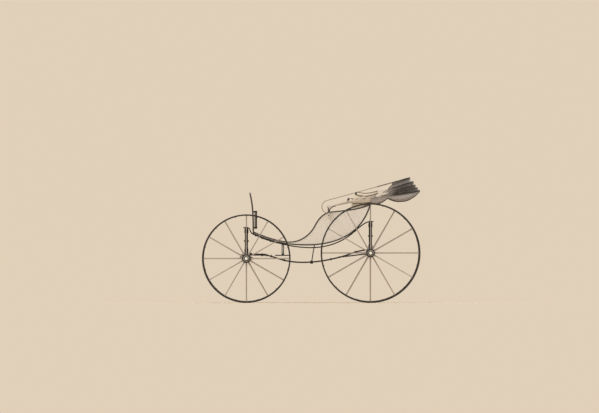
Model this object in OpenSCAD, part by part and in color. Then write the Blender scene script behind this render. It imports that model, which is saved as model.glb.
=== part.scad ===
// Light two-seat phaeton with a folding hood, standing on its four wheels.
// Millimetres. +X is forward, +Y is the left side, +Z is up.
// The origin lies on the ground at the middle of the length and width.

/* [Wheels] */
// Diameter of the front wheels over the tyre
front_wheel_d = 1016; // [960:1:1070]
// Diameter of the rear wheels over the tyre
rear_wheel_d = 1144; // [1090:1:1200]
// Distance between front and rear axle
wheelbase = 1426; // [1400:1:1500]
// Distance between the tyre centres of one axle
track = 1400; // [1360:1:1480]
// Width of the iron tyre
tyre_w = 26; // [20:1:34]
// Thickness of the iron tyre
tyre_t = 4.5; // [4:0.5:10]
// Radial depth of the wooden rim
felloe_d = 12; // [11:0.5:34]
// Width of the wooden rim
felloe_w = 28; // [22:1:36]
// Number of spokes in each wheel
spoke_count = 12; // [8:1:16]
// Spoke radius at the hub
spoke_r_hub = 7; // [6:0.5:14]
// Spoke radius at the rim
spoke_r_rim = 5; // [4:0.5:11]
// How far the spokes lean outward from hub to rim
dish = 28; // [10:1:40]
// Largest radius of the hub
hub_r = 50; // [44:1:60]
// Radius of the hub at its ends
hub_end_r = 36; // [30:1:42]
// Length of the hub inboard of the tyre centre
hub_in = 105; // [90:1:120]
// Length of the hub outboard of the tyre centre
hub_out = 44; // [34:1:60]
// Radius of the hub cap
cap_r = 26; // [20:1:29]
// Length of the hub cap
cap_len = 26; // [18:1:36]

/* [Axles and gear] */
// Side of the square axle bar
axle_side = 30; // [24:1:36]
// Radius of the axle arm inside the hub
arm_r = 16; // [13:0.5:19]
// Running clearance of arms, pins and eyes
run_clear = 0.1; // [0.05:0.01:0.2]
// Height of the wooden rear axle bed
rear_bed_h = 35; // [28:1:44]
// Height of the wooden front axle bed
front_bed_h = 18; // [14:1:26]
// Distance of the king bolt behind the front axle
king_back = 48; // [40:1:60]
// Outer radius of the fifth wheel rings
fifth_r = 123; // [110:1:140]
// Width of the fifth wheel rings
fifth_w = 19; // [15:1:26]
// Thickness of each fifth wheel ring
fifth_t = 7; // [5:0.5:10]
// Height of the head block over the upper ring
head_h = 22; // [18:1:30]
// Radius of the king bolt
king_r = 9; // [7:0.5:12]
// Depth of the perch
perch_h = 17; // [14:1:34]
// Width of the perch
perch_w = 34; // [26:1:44]
// Radius of the perch stays
stay_r = 7; // [5:0.5:9]
// Side position of the shaft couplings
coupling_y = 430; // [380:1:470]
// Radius of the shaft coupling bore
coupling_bore_r = 7; // [5:0.5:9]

/* [Springs] */
// Length of the elliptic springs
spring_len = 900; // [800:1:960]
// Width of the spring leaves
spring_w = 36; // [30:1:44]
// Thickness of one leaf
leaf_t = 6.5; // [5:0.5:8]
// Leaves in each half of a spring
leaf_count = 4; // [3:1:5]
// Height of the front spring
front_spring_h = 265; // [230:1:290]
// Height of the rear spring
rear_spring_h = 290; // [260:1:320]
// Height of the bars on top of the springs
spring_bar_h = 11; // [8:1:16]
// Thickness of the body loops
loop_t = 12; // [9:1:15]
// Width of the body loops
loop_w = 36; // [28:1:44]
// Side position of the body loops
loop_y = 290; // [260:1:310]

/* [Body] */
// Half width of the body at the floor
floor_half_w = 370; // [345:1:385]
// Outward flare of the sides per unit height
flare = 0.175; // [0.1:0.005:0.2]
// Thickness of the side panels
side_t = 18; // [14:1:22]
// Thickness of the floor and back boards
floor_t = 22; // [16:1:26]
// Height of the dash above the toe board
dash_h = 440; // [380:1:500]
// Thickness of the dash leather
dash_t = 6; // [4:1:10]
// Thickness of the dash frame
dash_frame_t = 12; // [10:1:18]
// Outer radius of the whip socket
whip_r = 15; // [13:0.5:20]
// Bore radius of the whip socket
whip_bore_r = 11; // [8:0.5:12]
// Distance of the whip socket from the side of the floor
whip_in = 70; // [40:1:150]
// Length of the step tread
step_len = 178; // [140:1:200]
// Width of the step tread
step_wide = 112; // [90:1:118]

/* [Seat] */
// Thickness of the seat cushion
cushion_h = 62; // [50:1:66]
// Thickness of the padded seat back
back_t = 16; // [12:1:20]
// Radius of the lower padded roll
roll_low_r = 27; // [20:1:29]
// Radius of the upper padded roll
roll_up_r = 19; // [15:1:24]

/* [Hood] */
// Thickness of the hood bows seen from the side
bow_t = 14; // [10:1:16]
// Width of the wooden part of the bows
bow_w = 20; // [14:1:26]
// Thickness of the flat irons at the pivot
iron_t = 7; // [5:0.5:7.5]
// Space between the body side and the innermost bow iron
bow_gap = 53; // [51:1:70]
// Radius of the hood pivot pin
pivot_r = 9; // [7:0.5:11]
// Corner radius of the bows
bow_corner = 130; // [100:1:160]
// Thickness of the hood leather
leather_t = 5; // [4:0.5:8]
// Free space around seated curved faces
seat_gap = 0.3; // [0.2:0.05:0.5]

/* [Hidden] */
$fn = 48;
front_r = front_wheel_d / 2;
rear_r = rear_wheel_d / 2;
length_all = front_r + wheelbase + rear_r;
xf = length_all / 2 - front_r;
xr = xf - wheelbase;
half_track = track / 2;
hub_face = half_track - hub_in;
axle_half = axle_side / 2;

// Heights of the running gear, from the ground up.
front_bed_top = front_r + axle_half + front_bed_h;
ring_low_top = front_bed_top + fifth_t;
ring_up_base = ring_low_top + seat_gap;
ring_up_top = ring_up_base + fifth_t;
head_top = ring_up_top + head_h;
front_bar_z = head_top + front_spring_h;
zf = front_bar_z + spring_bar_h + loop_t / 2;
rear_bed_top = rear_r + axle_half + rear_bed_h;
rear_bar_z = rear_bed_top + rear_spring_h;
zr = rear_bar_z + spring_bar_h + loop_t / 2;
king_x = xf - king_back;

// Lowest line of the body and its control points.
z_low = (zf + zr) / 2 - 233;
function bez(p, t) =
  let(u = 1 - t)
  u * u * u * p[0] + 3 * u * u * t * p[1] + 3 * u * t * t * p[2] + t * t * t * p[3];
function bez_pts(p, n, from = 0) = [for (i = [from:n]) bez(p, i / n)];
function rev(p) = [for (i = [len(p) - 1:-1:0]) p[i]];
function unit2(v) = v / norm(v);
function tangent(p, i) = unit2(p[min(i + 1, len(p) - 1)] - p[max(i - 1, 0)]);
function shifted(p, d) =
  [for (i = [0:len(p) - 1]) let(t = tangent(p, i)) p[i] + d * [-t[1], t[0]]];
function band(p, d0, d1) = concat(shifted(p, d0), rev(shifted(p, d1)));
function lerp(a, b, f) = a + (b - a) * f;

foot = [xf - 74, zf - 62];
low_mid = [xf - 0.4733 * wheelbase, z_low];
tail = [xr - 2, zr + 207];
low_front = [foot, foot + [-0.12 * wheelbase, -82], low_mid + [0.182 * wheelbase, 0], low_mid];
low_rear = [low_mid, low_mid + [-0.26 * wheelbase, -6], tail + [83, -336], tail];
low_line = concat(bez_pts(low_front, 14), bez_pts(low_rear, 20, 1));

// Upper edge of the body sides: toe board, swept curve, seat rail.
rail_x0 = xr + 461;
rail_len = 459;
function rail_z(x) =
  let(u = (rail_x0 - x) / rail_len) zr + 119 + 45 * u + 43 * u * u * u * u;
toe_end = [low_mid[0] + 0.123 * wheelbase, z_low + 43];
toe_curve = [foot + [-6, 25], foot + [-0.099 * wheelbase, -37], toe_end + [0.095 * wheelbase, 0],
  toe_end];
knee = [rail_x0 + 184, lerp(z_low, rail_z(rail_x0), 0.574)];
rail_start = [rail_x0, rail_z(rail_x0)];
sweep_low = [toe_end, toe_end + [-0.095 * wheelbase, -2], knee + [41, -83], knee];
sweep_high = [knee, knee + [-35, 71], rail_start + [90, -13], rail_start];
rail_pts = [for (i = [1:16]) let(x = rail_x0 - rail_len * i / 16) [x, rail_z(x)]];
top_line = concat(bez_pts(toe_curve, 10), bez_pts(sweep_low, 10, 1),
  bez_pts(sweep_high, 10, 1), rail_pts);
side_outline = concat(top_line, rev(low_line));

// Half width of the body at a height.
function half_w(z) = floor_half_w + (z - z_low) * flare;
slab_z0 = z_low - 60;
slab_z1 = zr + 300;

// Body loops: they follow the body, sag free of it, and end on the springs.
loop_clear = loop_t / 2 + seat_gap;
function loop_gap(x) =
  let(x0 = foot[0] - 0.238 * wheelbase, a = (x0 - x) / (x0 - xr - 180) * 180)
  loop_clear + (a > 0 && a < 180 ? 24 * sin(a) : 0);
loop_under = [for (i = [0:len(low_line) - 1]) if (low_line[i][0] > xr + 170)
  let(t = tangent(low_line, i)) low_line[i] + loop_gap(low_line[i][0]) * [-t[1], t[0]]];
loop_first = loop_under[0];
loop_last = loop_under[len(loop_under) - 1];
front_curl = [[xf - 22, zf], [xf - 44, zf - 2], loop_first + [30, 14], loop_first];
rear_curl = [loop_last, loop_last + [-50, 44], [xr + 60, zr - 2], [xr + 22, zr]];
loop_line = concat([[xf + 34, zf + 8], [xf + 21, zf]], bez_pts(front_curl, 8),
  [for (i = [1:len(loop_under) - 1]) loop_under[i]], bez_pts(rear_curl, 8, 1),
  [[xr - 21, zr], [xr - 34, zr + 6]]);

// Perch centre line.
perch_x0 = king_x - fifth_r - 8;
perch_z0 = ring_up_top - perch_h / 2;
perch_end = [xr + 20, rear_r + 34];
perch_low = [xf - 645, lerp(front_r, rear_r, 0.4) - 70];
perch_fork = [xr + 335, perch_low[1] + 64];
perch_line = concat([[perch_x0, perch_z0]],
  bez_pts([[perch_x0 - 44, perch_z0], [perch_x0 - 140, perch_z0 - 10],
    perch_low + [230, 0], perch_low], 12),
  bez_pts([perch_low, perch_low + [-180, 0], perch_fork + [126, -32], perch_fork], 10, 1),
  bez_pts([perch_fork, perch_fork + [-94, 25], perch_end + [121, 2], perch_end], 10, 1));

// Seat.
seat_front = rail_x0 + 46;
seat_back_x = xr + 40;
seat_z = rail_start[1] - 70;
back_low_x = xr + 4;
back_top_x = xr - 80;
back_low_w = half_w(rail_z(xr + 120)) - 8;
back_top_w = back_low_w + 4;
back_front_low = xr + 236;
back_front_top = xr + 172;
function back_top_z(x) =
  let(d = x - xr - 60) zr + 292 + (d > 0 ? 14 * d * d / 10000 : 40 * d * d / 26000);
// A point of the seat back in plan: q runs from 0 at the middle of the back to 1 at the front end.
q_back = 0.3;
q_corner = 0.58;
function plan_arc(q) = 90 * (q - q_back) / (q_corner - q_back);
function plan_pt(q, side, hw, x0, x1, rc) =
  q <= q_back ? [x1, side * (hw - rc) * q / q_back] :
  q <= q_corner ? [x1 + rc * (1 - cos(plan_arc(q))), side * (hw - rc + rc * sin(plan_arc(q)))] :
  [lerp(x1 + rc, x0, (q - q_corner) / (1 - q_corner)), side * hw];
function plan_normal(q, side) =
  q <= q_back ? [-1, 0] :
  q <= q_corner ? [-cos(plan_arc(q)), side * sin(plan_arc(q))] : [0, side];
function back_low(q, side) =
  let(p = plan_pt(q, side, back_low_w, back_front_low, back_low_x, 110))
  [p[0], p[1], rail_z(p[0]) + seat_gap];
function back_top(q, side) =
  let(p = plan_pt(q, side, back_top_w, back_front_top, back_top_x, 130))
  [p[0], p[1], back_top_z(p[0])];
half_stations = [0, 0.1, 0.2, 0.3, 0.36, 0.42, 0.48, 0.53, 0.58, 0.66, 0.74, 0.83, 0.92, 1];
stations = concat([for (i = [len(half_stations) - 1:-1:0]) [half_stations[i], 1]],
  [for (i = [1:len(half_stations) - 1]) [half_stations[i], -1]]);
function plan3(v) = [v[0], v[1], 0];
// Outward lean of the seat back and a point held off its outer face.
function back_lean(q, side) =
  let(a = back_low(q, side), b = back_top(q, side), n = plan_normal(q, side))
  ((b[0] - a[0]) * n[0] + (b[1] - a[1]) * n[1]) / (b[2] - a[2]);
function back_off(q, side, f, d) =
  let(k = back_lean(q, side), s = sqrt(1 + k * k), n = plan_normal(q, side))
  lerp(back_low(q, side), back_top(q, side), f) + d / s * [n[0], n[1], -k];
function roll_low_f(q) = 0.58 + 0.06 * min(1, (1 - q) / (1 - q_back));

// Hood: table of bows from front to back.
pivot = [xr + 483, zr + 173];
bow_in_y = half_w(pivot[1]) + bow_gap;
whip_y = whip_in - floor_half_w;
// Columns: tip radius, angle above the rearward line when folded, offset of the leg from the pivot.
bows = [
  [989, 15.3, 75],
  [1012, 16.5, 0],
  [1023, 14, 0],
  [1041, 12, 0],
  [1061, 10, 0]
];
tip = 0;
lay = 1;
off = 2;
bow_pitch = iron_t + 1;
wood_from = 600;
iron_w = bow_t / 2;
function bow_out_y(i) = bow_in_y + iron_t + (4 - i) * bow_pitch;
function bow_dir(a) = [-cos(a), sin(a)];
function bow_up(a) = [sin(a), cos(a)];

// Draws a side-view outline across the width.
module along_y(y0, y1) {
  translate([0, y1, 0]) rotate([90, 0, 0]) linear_extrude(y1 - y0) children();
}

// Draws an outline of width and height along the length.
module along_x(x0, x1) {
  translate([x0, 0, 0]) rotate([90, 0, 90]) linear_extrude(x1 - x0) children();
}

// Cylinder along the width.
module rod_y(x, z, r, y0, y1) {
  translate([x, y0, z]) rotate([-90, 0, 0]) cylinder(h = y1 - y0, r = r);
}

// Places a left-hand wheel or its mirror image.
module at_wheel(x, r, side) {
  mirror([0, side < 0 ? 1 : 0, 0])
    translate([x, half_track, r]) rotate([-90, 0, 0]) children();
}

module tyre_ring(r) {
  color("#2b2b2d") rotate_extrude()
    translate([r - tyre_t, -tyre_w / 2]) square([tyre_t, tyre_w]);
}

module rim_ring(r) {
  ro = r - tyre_t - 0.2;
  h = felloe_w / 2;
  color("#1d1b1b") rotate_extrude()
    polygon([[ro, -h], [ro, h], [ro - felloe_d * 0.7, h], [ro - felloe_d, h * 0.6],
      [ro - felloe_d, -h * 0.6], [ro - felloe_d * 0.7, -h]]);
}

module spoke_set(r) {
  ri = r - tyre_t - felloe_d - 0.6;
  r0 = hub_r - 4;
  lean = atan(dish / (ri - hub_r));
  color("#8d8071") for (i = [0:spoke_count - 1])
    rotate([0, 0, i * 360 / spoke_count]) difference() {
      translate([r0, 0, -dish]) rotate([0, 90 - lean, 0])
        cylinder(h = (ri - r0) / cos(lean) - 0.6, r1 = spoke_r_hub, r2 = spoke_r_rim);
      translate([0, 0, -130]) cylinder(h = 220, r = hub_r + 0.2);
    }
}

module hub_body() {
  s0 = -dish - 22;
  s1 = -dish + 22;
  ec = hub_end_r;
  color("#1d1b1b") difference() {
    rotate_extrude() polygon([[0, -hub_in], [ec - 3, -hub_in], [ec, -hub_in + 3],
      [ec, -hub_in + 22], [ec + 3, -hub_in + 22], [hub_r - 4, s0 - 6], [hub_r, s0], [hub_r, s1],
      [hub_r - 4, s1 + 6], [ec + 4, hub_out - 24], [ec, hub_out - 24], [ec, hub_out - 3],
      [ec - 3, hub_out], [cap_r, hub_out], [cap_r, hub_out + cap_len - 8],
      [cap_r - 4, hub_out + cap_len - 2], [cap_r - 10, hub_out + cap_len],
      [0, hub_out + cap_len]]);
    translate([0, 0, -hub_in - 1]) cylinder(h = hub_in + hub_out + 6, r = arm_r + run_clear);
  }
}

module tyre_front_left() { at_wheel(xf, front_r, 1) tyre_ring(front_r); }
module rim_front_left() { at_wheel(xf, front_r, 1) rim_ring(front_r); }
module spokes_front_left() { at_wheel(xf, front_r, 1) spoke_set(front_r); }
module hub_front_left() { at_wheel(xf, front_r, 1) hub_body(); }
module tyre_front_right() { at_wheel(xf, front_r, -1) tyre_ring(front_r); }
module rim_front_right() { at_wheel(xf, front_r, -1) rim_ring(front_r); }
module spokes_front_right() { at_wheel(xf, front_r, -1) spoke_set(front_r); }
module hub_front_right() { at_wheel(xf, front_r, -1) hub_body(); }
module tyre_rear_left() { at_wheel(xr, rear_r, 1) tyre_ring(rear_r); }
module rim_rear_left() { at_wheel(xr, rear_r, 1) rim_ring(rear_r); }
module spokes_rear_left() { at_wheel(xr, rear_r, 1) spoke_set(rear_r); }
module hub_rear_left() { at_wheel(xr, rear_r, 1) hub_body(); }
module tyre_rear_right() { at_wheel(xr, rear_r, -1) tyre_ring(rear_r); }
module rim_rear_right() { at_wheel(xr, rear_r, -1) rim_ring(rear_r); }
module spokes_rear_right() { at_wheel(xr, rear_r, -1) spoke_set(rear_r); }
module hub_rear_right() { at_wheel(xr, rear_r, -1) hub_body(); }

// Square bar with collars and round arms for the hubs.
module axle_bar(x, z) {
  translate([x - axle_half, -hub_face + 5, z - axle_half])
    cube([axle_side, 2 * hub_face - 10, axle_side]);
  for (side = [-1, 1])
    mirror([0, side < 0 ? 1 : 0, 0]) {
      rod_y(x, z, 28, hub_face - 10, hub_face - 0.6);
      rod_y(x, z, arm_r, hub_face - 4, half_track + hub_out);
    }
}

module front_axle() {
  yoke_top = front_r + axle_half;
  color("#242324") difference() {
    union() {
      axle_bar(xf, front_r);
      translate([king_x, -24, yoke_top - 15]) cube([king_back - axle_half + 1, 48, 15]);
      translate([king_x, 0, yoke_top - 15]) cylinder(h = 15, r = 24);
    }
    translate([king_x, 0, yoke_top - 40]) cylinder(h = 60, r = king_r + run_clear);
  }
}

// Crowned wooden bed that lies on an axle.
module axle_bed(x, z0, h, half) {
  color("#1d1b1b") along_x(x - axle_half, x + axle_half)
    polygon([[-half, z0], [half, z0], [half, z0 + h * 0.45], [half * 0.8, z0 + h * 0.7],
      [half * 0.42, z0 + h], [-half * 0.42, z0 + h], [-half * 0.8, z0 + h * 0.7],
      [-half, z0 + h * 0.45]]);
}

module front_axle_bed() { axle_bed(xf, front_r + axle_half, front_bed_h, hub_face - 75); }
module rear_axle_bed() { axle_bed(xr, rear_r + axle_half, rear_bed_h, hub_face - 75); }

module rear_axle() {
  color("#242324") axle_bar(xr, rear_r);
}

module ring_at(z) {
  translate([king_x, 0, z]) rotate_extrude()
    translate([fifth_r - fifth_w, 0]) square([fifth_w, fifth_t]);
}

module fifth_wheel_lower() {
  color("#242324") ring_at(front_bed_top);
}

module fifth_wheel_upper() {
  color("#242324") ring_at(ring_up_base);
}

// Cross block over the fifth wheel with a tail plate to the perch.
module head_block() {
  color("#1d1b1b") difference() {
    union() {
      along_x(xf - 22, xf + 22)
        polygon([[-180, ring_up_top], [180, ring_up_top], [180, ring_up_top + 10],
          [110, head_top], [-110, head_top], [-180, ring_up_top + 10]]);
      translate([perch_x0 - 44, -perch_w / 2, ring_up_top])
        cube([xf - 20 - perch_x0 + 44, perch_w, 9]);
    }
    translate([king_x, 0, ring_up_top - 1]) cylinder(h = 20, r = king_r + run_clear);
  }
}

module king_bolt() {
  yoke_base = front_r + axle_half - 15;
  color("#242324") {
    translate([king_x, 0, yoke_base - 16]) cylinder(h = ring_up_top + 12 - yoke_base + 16, r = king_r);
    translate([king_x, 0, ring_up_top + 9]) cylinder(h = 8, r = king_r + 7);
    translate([king_x, 0, yoke_base - 14]) cylinder(h = 13.4, r = king_r + 7);
  }
}

// Eyes on the front axle that take the shafts' pins.
module shaft_couplings() {
  px = xf + axle_half + 47;
  pz = front_r + 13;
  color("#242324") for (side = [-1, 1])
    translate([0, side * coupling_y, 0]) difference() {
      union() {
        translate([xf + axle_half, -22, front_r - axle_half])
          cube([8, 44, axle_side + front_bed_h * 0.4]);
        along_y(-9, 9) polygon([[xf + axle_half + 4, pz - 16], [px, pz - 11],
          [px, pz + 11], [xf + axle_half + 4, pz + 16]]);
        rod_y(px, pz, 14, -22, 22);
      }
      rod_y(px, pz, coupling_bore_r, -40, 40);
    }
}

module perch() {
  color("#1d1b1b") along_y(-perch_w / 2, perch_w / 2)
    polygon(band(perch_line, -perch_h / 2, perch_h / 2));
}

// Two rods that splay from the perch to the rear axle, with flat feet.
module perch_stays() {
  a = [perch_fork[0] + 20, perch_w / 2 + stay_r + seat_gap, perch_fork[1] - 4];
  b = [xr + axle_half + stay_r, 300, rear_r - 8];
  d = b - a;
  color("#242324") for (side = [-1, 1])
    mirror([0, side < 0 ? 1 : 0, 0]) {
      translate(a) rotate([0, 0, atan2(d[1], d[0])]) rotate([0, atan2(norm([d[0], d[1]]), d[2]), 0])
        cylinder(h = norm(d), r = stay_r);
      rod_y(a[0], a[2], 11, perch_w / 2, a[1] + 4);
      translate([xr + axle_half, b[1] - 16, b[2] - 12]) cube([stay_r + 5, 32, 24]);
    }
}

// Outline of one spring half, lowest at height 0: main leaf inside, shorter leaves outside.
leaf_step = 0.19;
function half_sag(h) = h / 2 - (leaf_count - 0.5) * leaf_t;
function leaf_radius(h) =
  (spring_len * spring_len / 4 + half_sag(h) * half_sag(h)) / (2 * half_sag(h));
function leaf_pt(h, r, a) =
  [r * sin(a), leaf_radius(h) + (leaf_count - 0.5) * leaf_t - r * cos(a)];
function leaf_angle(h, i) =
  i < leaf_count ? asin(spring_len / 2 / leaf_radius(h)) * (1 - leaf_step * i) : 0;
function pack_side(h) =
  [for (i = [0:leaf_count - 1], k = [0:5])
    leaf_pt(h, leaf_radius(h) + (i + 0.5) * leaf_t,
      lerp(leaf_angle(h, i), leaf_angle(h, i + 1), k / 5))];
function pack_outline(h) = concat(
  [for (k = [-20:20]) leaf_pt(h, leaf_radius(h) - leaf_t / 2, leaf_angle(h, 0) * k / 20)],
  pack_side(h),
  [for (p = rev(pack_side(h))) if (p[0] > 0.01) [-p[0], p[1]]]);

// Cylinder along the length at one spring end.
module eye(side, h, r, x0, x1) {
  translate([x0, side * spring_len / 2, h / 2]) rotate([0, 90, 0]) cylinder(h = x1 - x0, r = r);
}

// One half of an elliptic spring with clips; the lower half has the middle eye and the bolt.
module half_spring(h, lower) {
  w = spring_w / 2;
  third = spring_w / 6;
  eye_r = 10;
  difference() {
    union() {
      along_x(-w, w) polygon(pack_outline(h));
      for (side = [-1, 1]) {
        eye(side, h, eye_r, -w - 0.5, w + 0.5);
        translate([-w - 6, side * 38 - 7, 0]) cube([spring_w + 12, 14, leaf_count * leaf_t + 6]);
      }
    }
    for (side = [-1, 1])
      if (lower) {
        eye(side, h, eye_r + 3, -w - 2, -third);
        eye(side, h, eye_r + 3, third, w + 2);
      }
      else {
        eye(side, h, eye_r + 3, -third - 0.4, third + 0.4);
        eye(side, h, 5 + run_clear, -w - 2, w + 2);
      }
  }
  if (lower)
    for (side = [-1, 1]) {
      eye(side, h, 5, -w - 10, w + 10);
      eye(side, h, 9, w + 0.9, w + 8);
      eye(side, h, 9, -w - 8, -w - 0.9);
    }
}

module front_spring_lower() {
  color("#1f1e20") translate([xf, 0, head_top]) half_spring(front_spring_h, true);
}
module front_spring_upper() {
  color("#1f1e20") translate([xf, 0, front_bar_z]) mirror([0, 0, 1])
    half_spring(front_spring_h, false);
}
module rear_spring_lower() {
  color("#1f1e20") translate([xr, 0, rear_bed_top]) half_spring(rear_spring_h, true);
}
module rear_spring_upper() {
  color("#1f1e20") translate([xr, 0, rear_bar_z]) mirror([0, 0, 1])
    half_spring(rear_spring_h, false);
}

// Cross bars on top of the springs that carry the body loops.
module spring_bars() {
  half = loop_y + loop_w / 2 + 22;
  color("#1d1b1b") for (p = [[xf, front_bar_z], [xr, rear_bar_z]])
    translate([p[0] - 20, -half, p[1]]) cube([40, 2 * half, spring_bar_h]);
}

// The two long irons that hang the body between the springs.
module body_loops() {
  color("#1f1e20") difference() {
    for (side = [-1, 1])
      along_y(side * loop_y - loop_w / 2, side * loop_y + loop_w / 2)
        polygon(band(loop_line, -loop_t / 2, loop_t / 2));
    for (p = [[xf, front_bar_z], [xr, rear_bar_z]])
      translate([p[0] - 21, -loop_y - loop_w, p[1] - 1])
        cube([42, 2 * loop_y + 2 * loop_w, spring_bar_h + 1]);
  }
}

// Leather strap from the floor to the perch, looped round the perch.
module check_strap() {
  sx = low_mid[0] - 75;
  sz = perch_low[1] + 4;
  c = 0.3;
  color("#2a2523") difference() {
    union() {
      along_y(-16, 16) polygon([[sx - 41, z_low + 20], [sx - 29, z_low + 20],
        [sx + 6, sz], [sx - 6, sz]]);
      along_y(-perch_w / 2 - 6, perch_w / 2 + 6)
        polygon([[sx - 16, sz - perch_h / 2 - 12], [sx + 16, sz - perch_h / 2 - 12],
          [sx + 16, sz + perch_h / 2 + 8], [sx - 16, sz + perch_h / 2 + 8]]);
    }
    along_y(-perch_w / 2 - c, perch_w / 2 + c)
      polygon(band(perch_line, -perch_h / 2 - c, perch_h / 2 + c));
    along_y(-60, 60) polygon(band(low_line, -60, c));
  }
}

// Whole width of the body at each height, with the side panels left out.
module between_sides(gap = 0) {
  along_x(xr - 200, xf + 100)
    polygon([[-half_w(slab_z0) + side_t + gap, slab_z0], [half_w(slab_z0) - side_t - gap, slab_z0],
      [half_w(slab_z1) - side_t - gap, slab_z1], [-half_w(slab_z1) + side_t + gap, slab_z1]]);
}

module floor_board() {
  color("#c9bba0") intersection() {
    along_y(-600, 600) intersection() {
      polygon(band(low_line, -floor_t, 0));
      polygon(side_outline);
      translate([low_mid[0] - 175, 0]) square([2000, 3000]);
    }
    between_sides();
  }
}

module back_board() {
  color("#c9bba0") intersection() {
    along_y(-600, 600) intersection() {
      polygon(band(low_line, -floor_t, 0));
      polygon(side_outline);
      translate([low_mid[0] - 175 - 2000, 0]) square([2000, 3000]);
    }
    between_sides();
  }
}

module side_panel() {
  color("#c9bba0") intersection() {
    along_y(0, 700) polygon(side_outline);
    along_x(xr - 200, xf + 100)
      polygon([[half_w(slab_z0) - side_t, slab_z0], [half_w(slab_z0), slab_z0],
        [half_w(slab_z1), slab_z1], [half_w(slab_z1) - side_t, slab_z1]]);
  }
}

module side_left() { side_panel(); }
module side_right() { mirror([0, 1, 0]) side_panel(); }

// Panel under the front of the seat.
module seat_riser() {
  color("#c9bba0") difference() {
    intersection() {
      translate([seat_front - 30, -600, z_low]) cube([16, 1200, seat_z - 20 - z_low]);
      between_sides();
    }
    along_y(-700, 700) polygon(band(low_line, -floor_t, 400));
  }
}

module seat_board() {
  color("#a98f6c") difference() {
    intersection() {
      translate([xr - 40, -600, seat_z - 20]) cube([seat_front - xr + 40, 1200, 20]);
      between_sides();
    }
    along_y(-700, 700) polygon(band(low_line, -floor_t, 400));
  }
}

// Square with rounded corners.
module round_rect(x0, y0, x1, y1, r) {
  translate([x0 + r, y0]) square([x1 - x0 - 2 * r, y1 - y0]);
  translate([x0, y0 + r]) square([x1 - x0, y1 - y0 - 2 * r]);
  for (x = [x0 + r, x1 - r], y = [y0 + r, y1 - r]) translate([x, y]) circle(r = r);
}

module seat_cushion() {
  cw = half_w(seat_z) - side_t - 3;
  color("#cdbb98") difference() {
    translate([0, 0, seat_z]) linear_extrude(cushion_h)
      round_rect(seat_back_x + 6, -cw, seat_front, cw, 24);
    along_y(-700, 700) polygon(band(low_line, -floor_t - 1, 300));
  }
}

// Joins rings of points into a closed solid.
function ring_faces(n, m) = concat([rev([for (j = [0:m - 1]) j])],
  [[for (j = [0:m - 1]) (n - 1) * m + j]],
  [for (i = [0:n - 2], j = [0:m - 1]) let(k = (j + 1) % m)
    [i * m + j, i * m + k, (i + 1) * m + k]],
  [for (i = [0:n - 2], j = [0:m - 1]) let(k = (j + 1) % m)
    [i * m + j, (i + 1) * m + k, (i + 1) * m + j]]);

// Horseshoe wall behind and beside the seat.
module seat_back() {
  pts = [for (s = stations)
    let(a = back_low(s[0], s[1]), b = back_top(s[0], s[1]), n = plan3(plan_normal(s[0], s[1])))
    each [a, b, b - back_t * n, a - back_t * n]];
  color("#cdbb98") polyhedron(pts, ring_faces(len(stations), 4));
}

// Round padded roll along a list of points.
module tube(path, r, m = 12) {
  n = len(path);
  pts = [for (i = [0:n - 1])
    let(t = path[min(i + 1, n - 1)] - path[max(i - 1, 0)], w = t / norm(t),
      u0 = cross(w, [0, 0, 1]), u = u0 / norm(u0), v = cross(u, w))
    for (j = [0:m - 1]) path[i] + r * (cos(360 * j / m) * u + sin(360 * j / m) * v)];
  polyhedron(pts, ring_faces(n, m));
}

module seat_roll_lower() {
  path = concat([back_off(1, 1, 0.58, roll_low_r + 0.6) + [66, 0, 14],
    back_off(1, 1, 0.58, roll_low_r + 0.6) + [34, 0, 5]],
    [for (s = stations) back_off(s[0], s[1], roll_low_f(s[0]), roll_low_r + 0.6)],
    [back_off(1, -1, 0.58, roll_low_r + 0.6) + [34, 0, 5],
    back_off(1, -1, 0.58, roll_low_r + 0.6) + [66, 0, 14]]);
  color("#cdbb98") tube(path, roll_low_r);
}

module seat_roll_upper() {
  lift = [0, 0, roll_up_r + 0.6];
  path = [for (s = stations)
    back_top(s[0], s[1]) + lift - back_t / 2 * plan3(plan_normal(s[0], s[1]))];
  color("#cdbb98") tube(path, roll_up_r);
}

// Dash: leather in an iron frame, curved forward at the top.
dash_line = concat([foot + [-5, -20]], bez_pts([foot + [-5, 26], foot + [-4, 26 + dash_h * 0.55],
  foot + [5, 26 + dash_h * 0.7], foot + [33, 26 + dash_h]], 12));
module dash() {
  dw = floor_half_w + 22;
  z0 = foot[1];
  z1 = z0 + 26 + dash_h;
  ft = dash_frame_t / 2;
  color("#232021") difference() {
    union() {
      intersection() {
        along_y(-dw, dw) polygon(band(dash_line, -dash_t / 2, dash_t / 2));
        along_x(foot[0] - 100, foot[0] + 100) round_rect(-dw, z0 - 200, dw, z1, 70);
      }
      intersection() {
        along_y(-dw, dw) polygon(band(dash_line, -ft, ft));
        along_x(foot[0] - 100, foot[0] + 100) difference() {
          round_rect(-dw, z0 - 200, dw, z1, 70);
          round_rect(-dw + 14, z0 + 44, dw - 14, z1 - 14, 56);
        }
      }
    }
    along_y(-700, 700) polygon(concat(bez_pts(toe_curve, 10),
      [toe_end + [0, -300], foot + [300, -300], foot + [300, 25], foot + [30, 25]]));
  }
}

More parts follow.
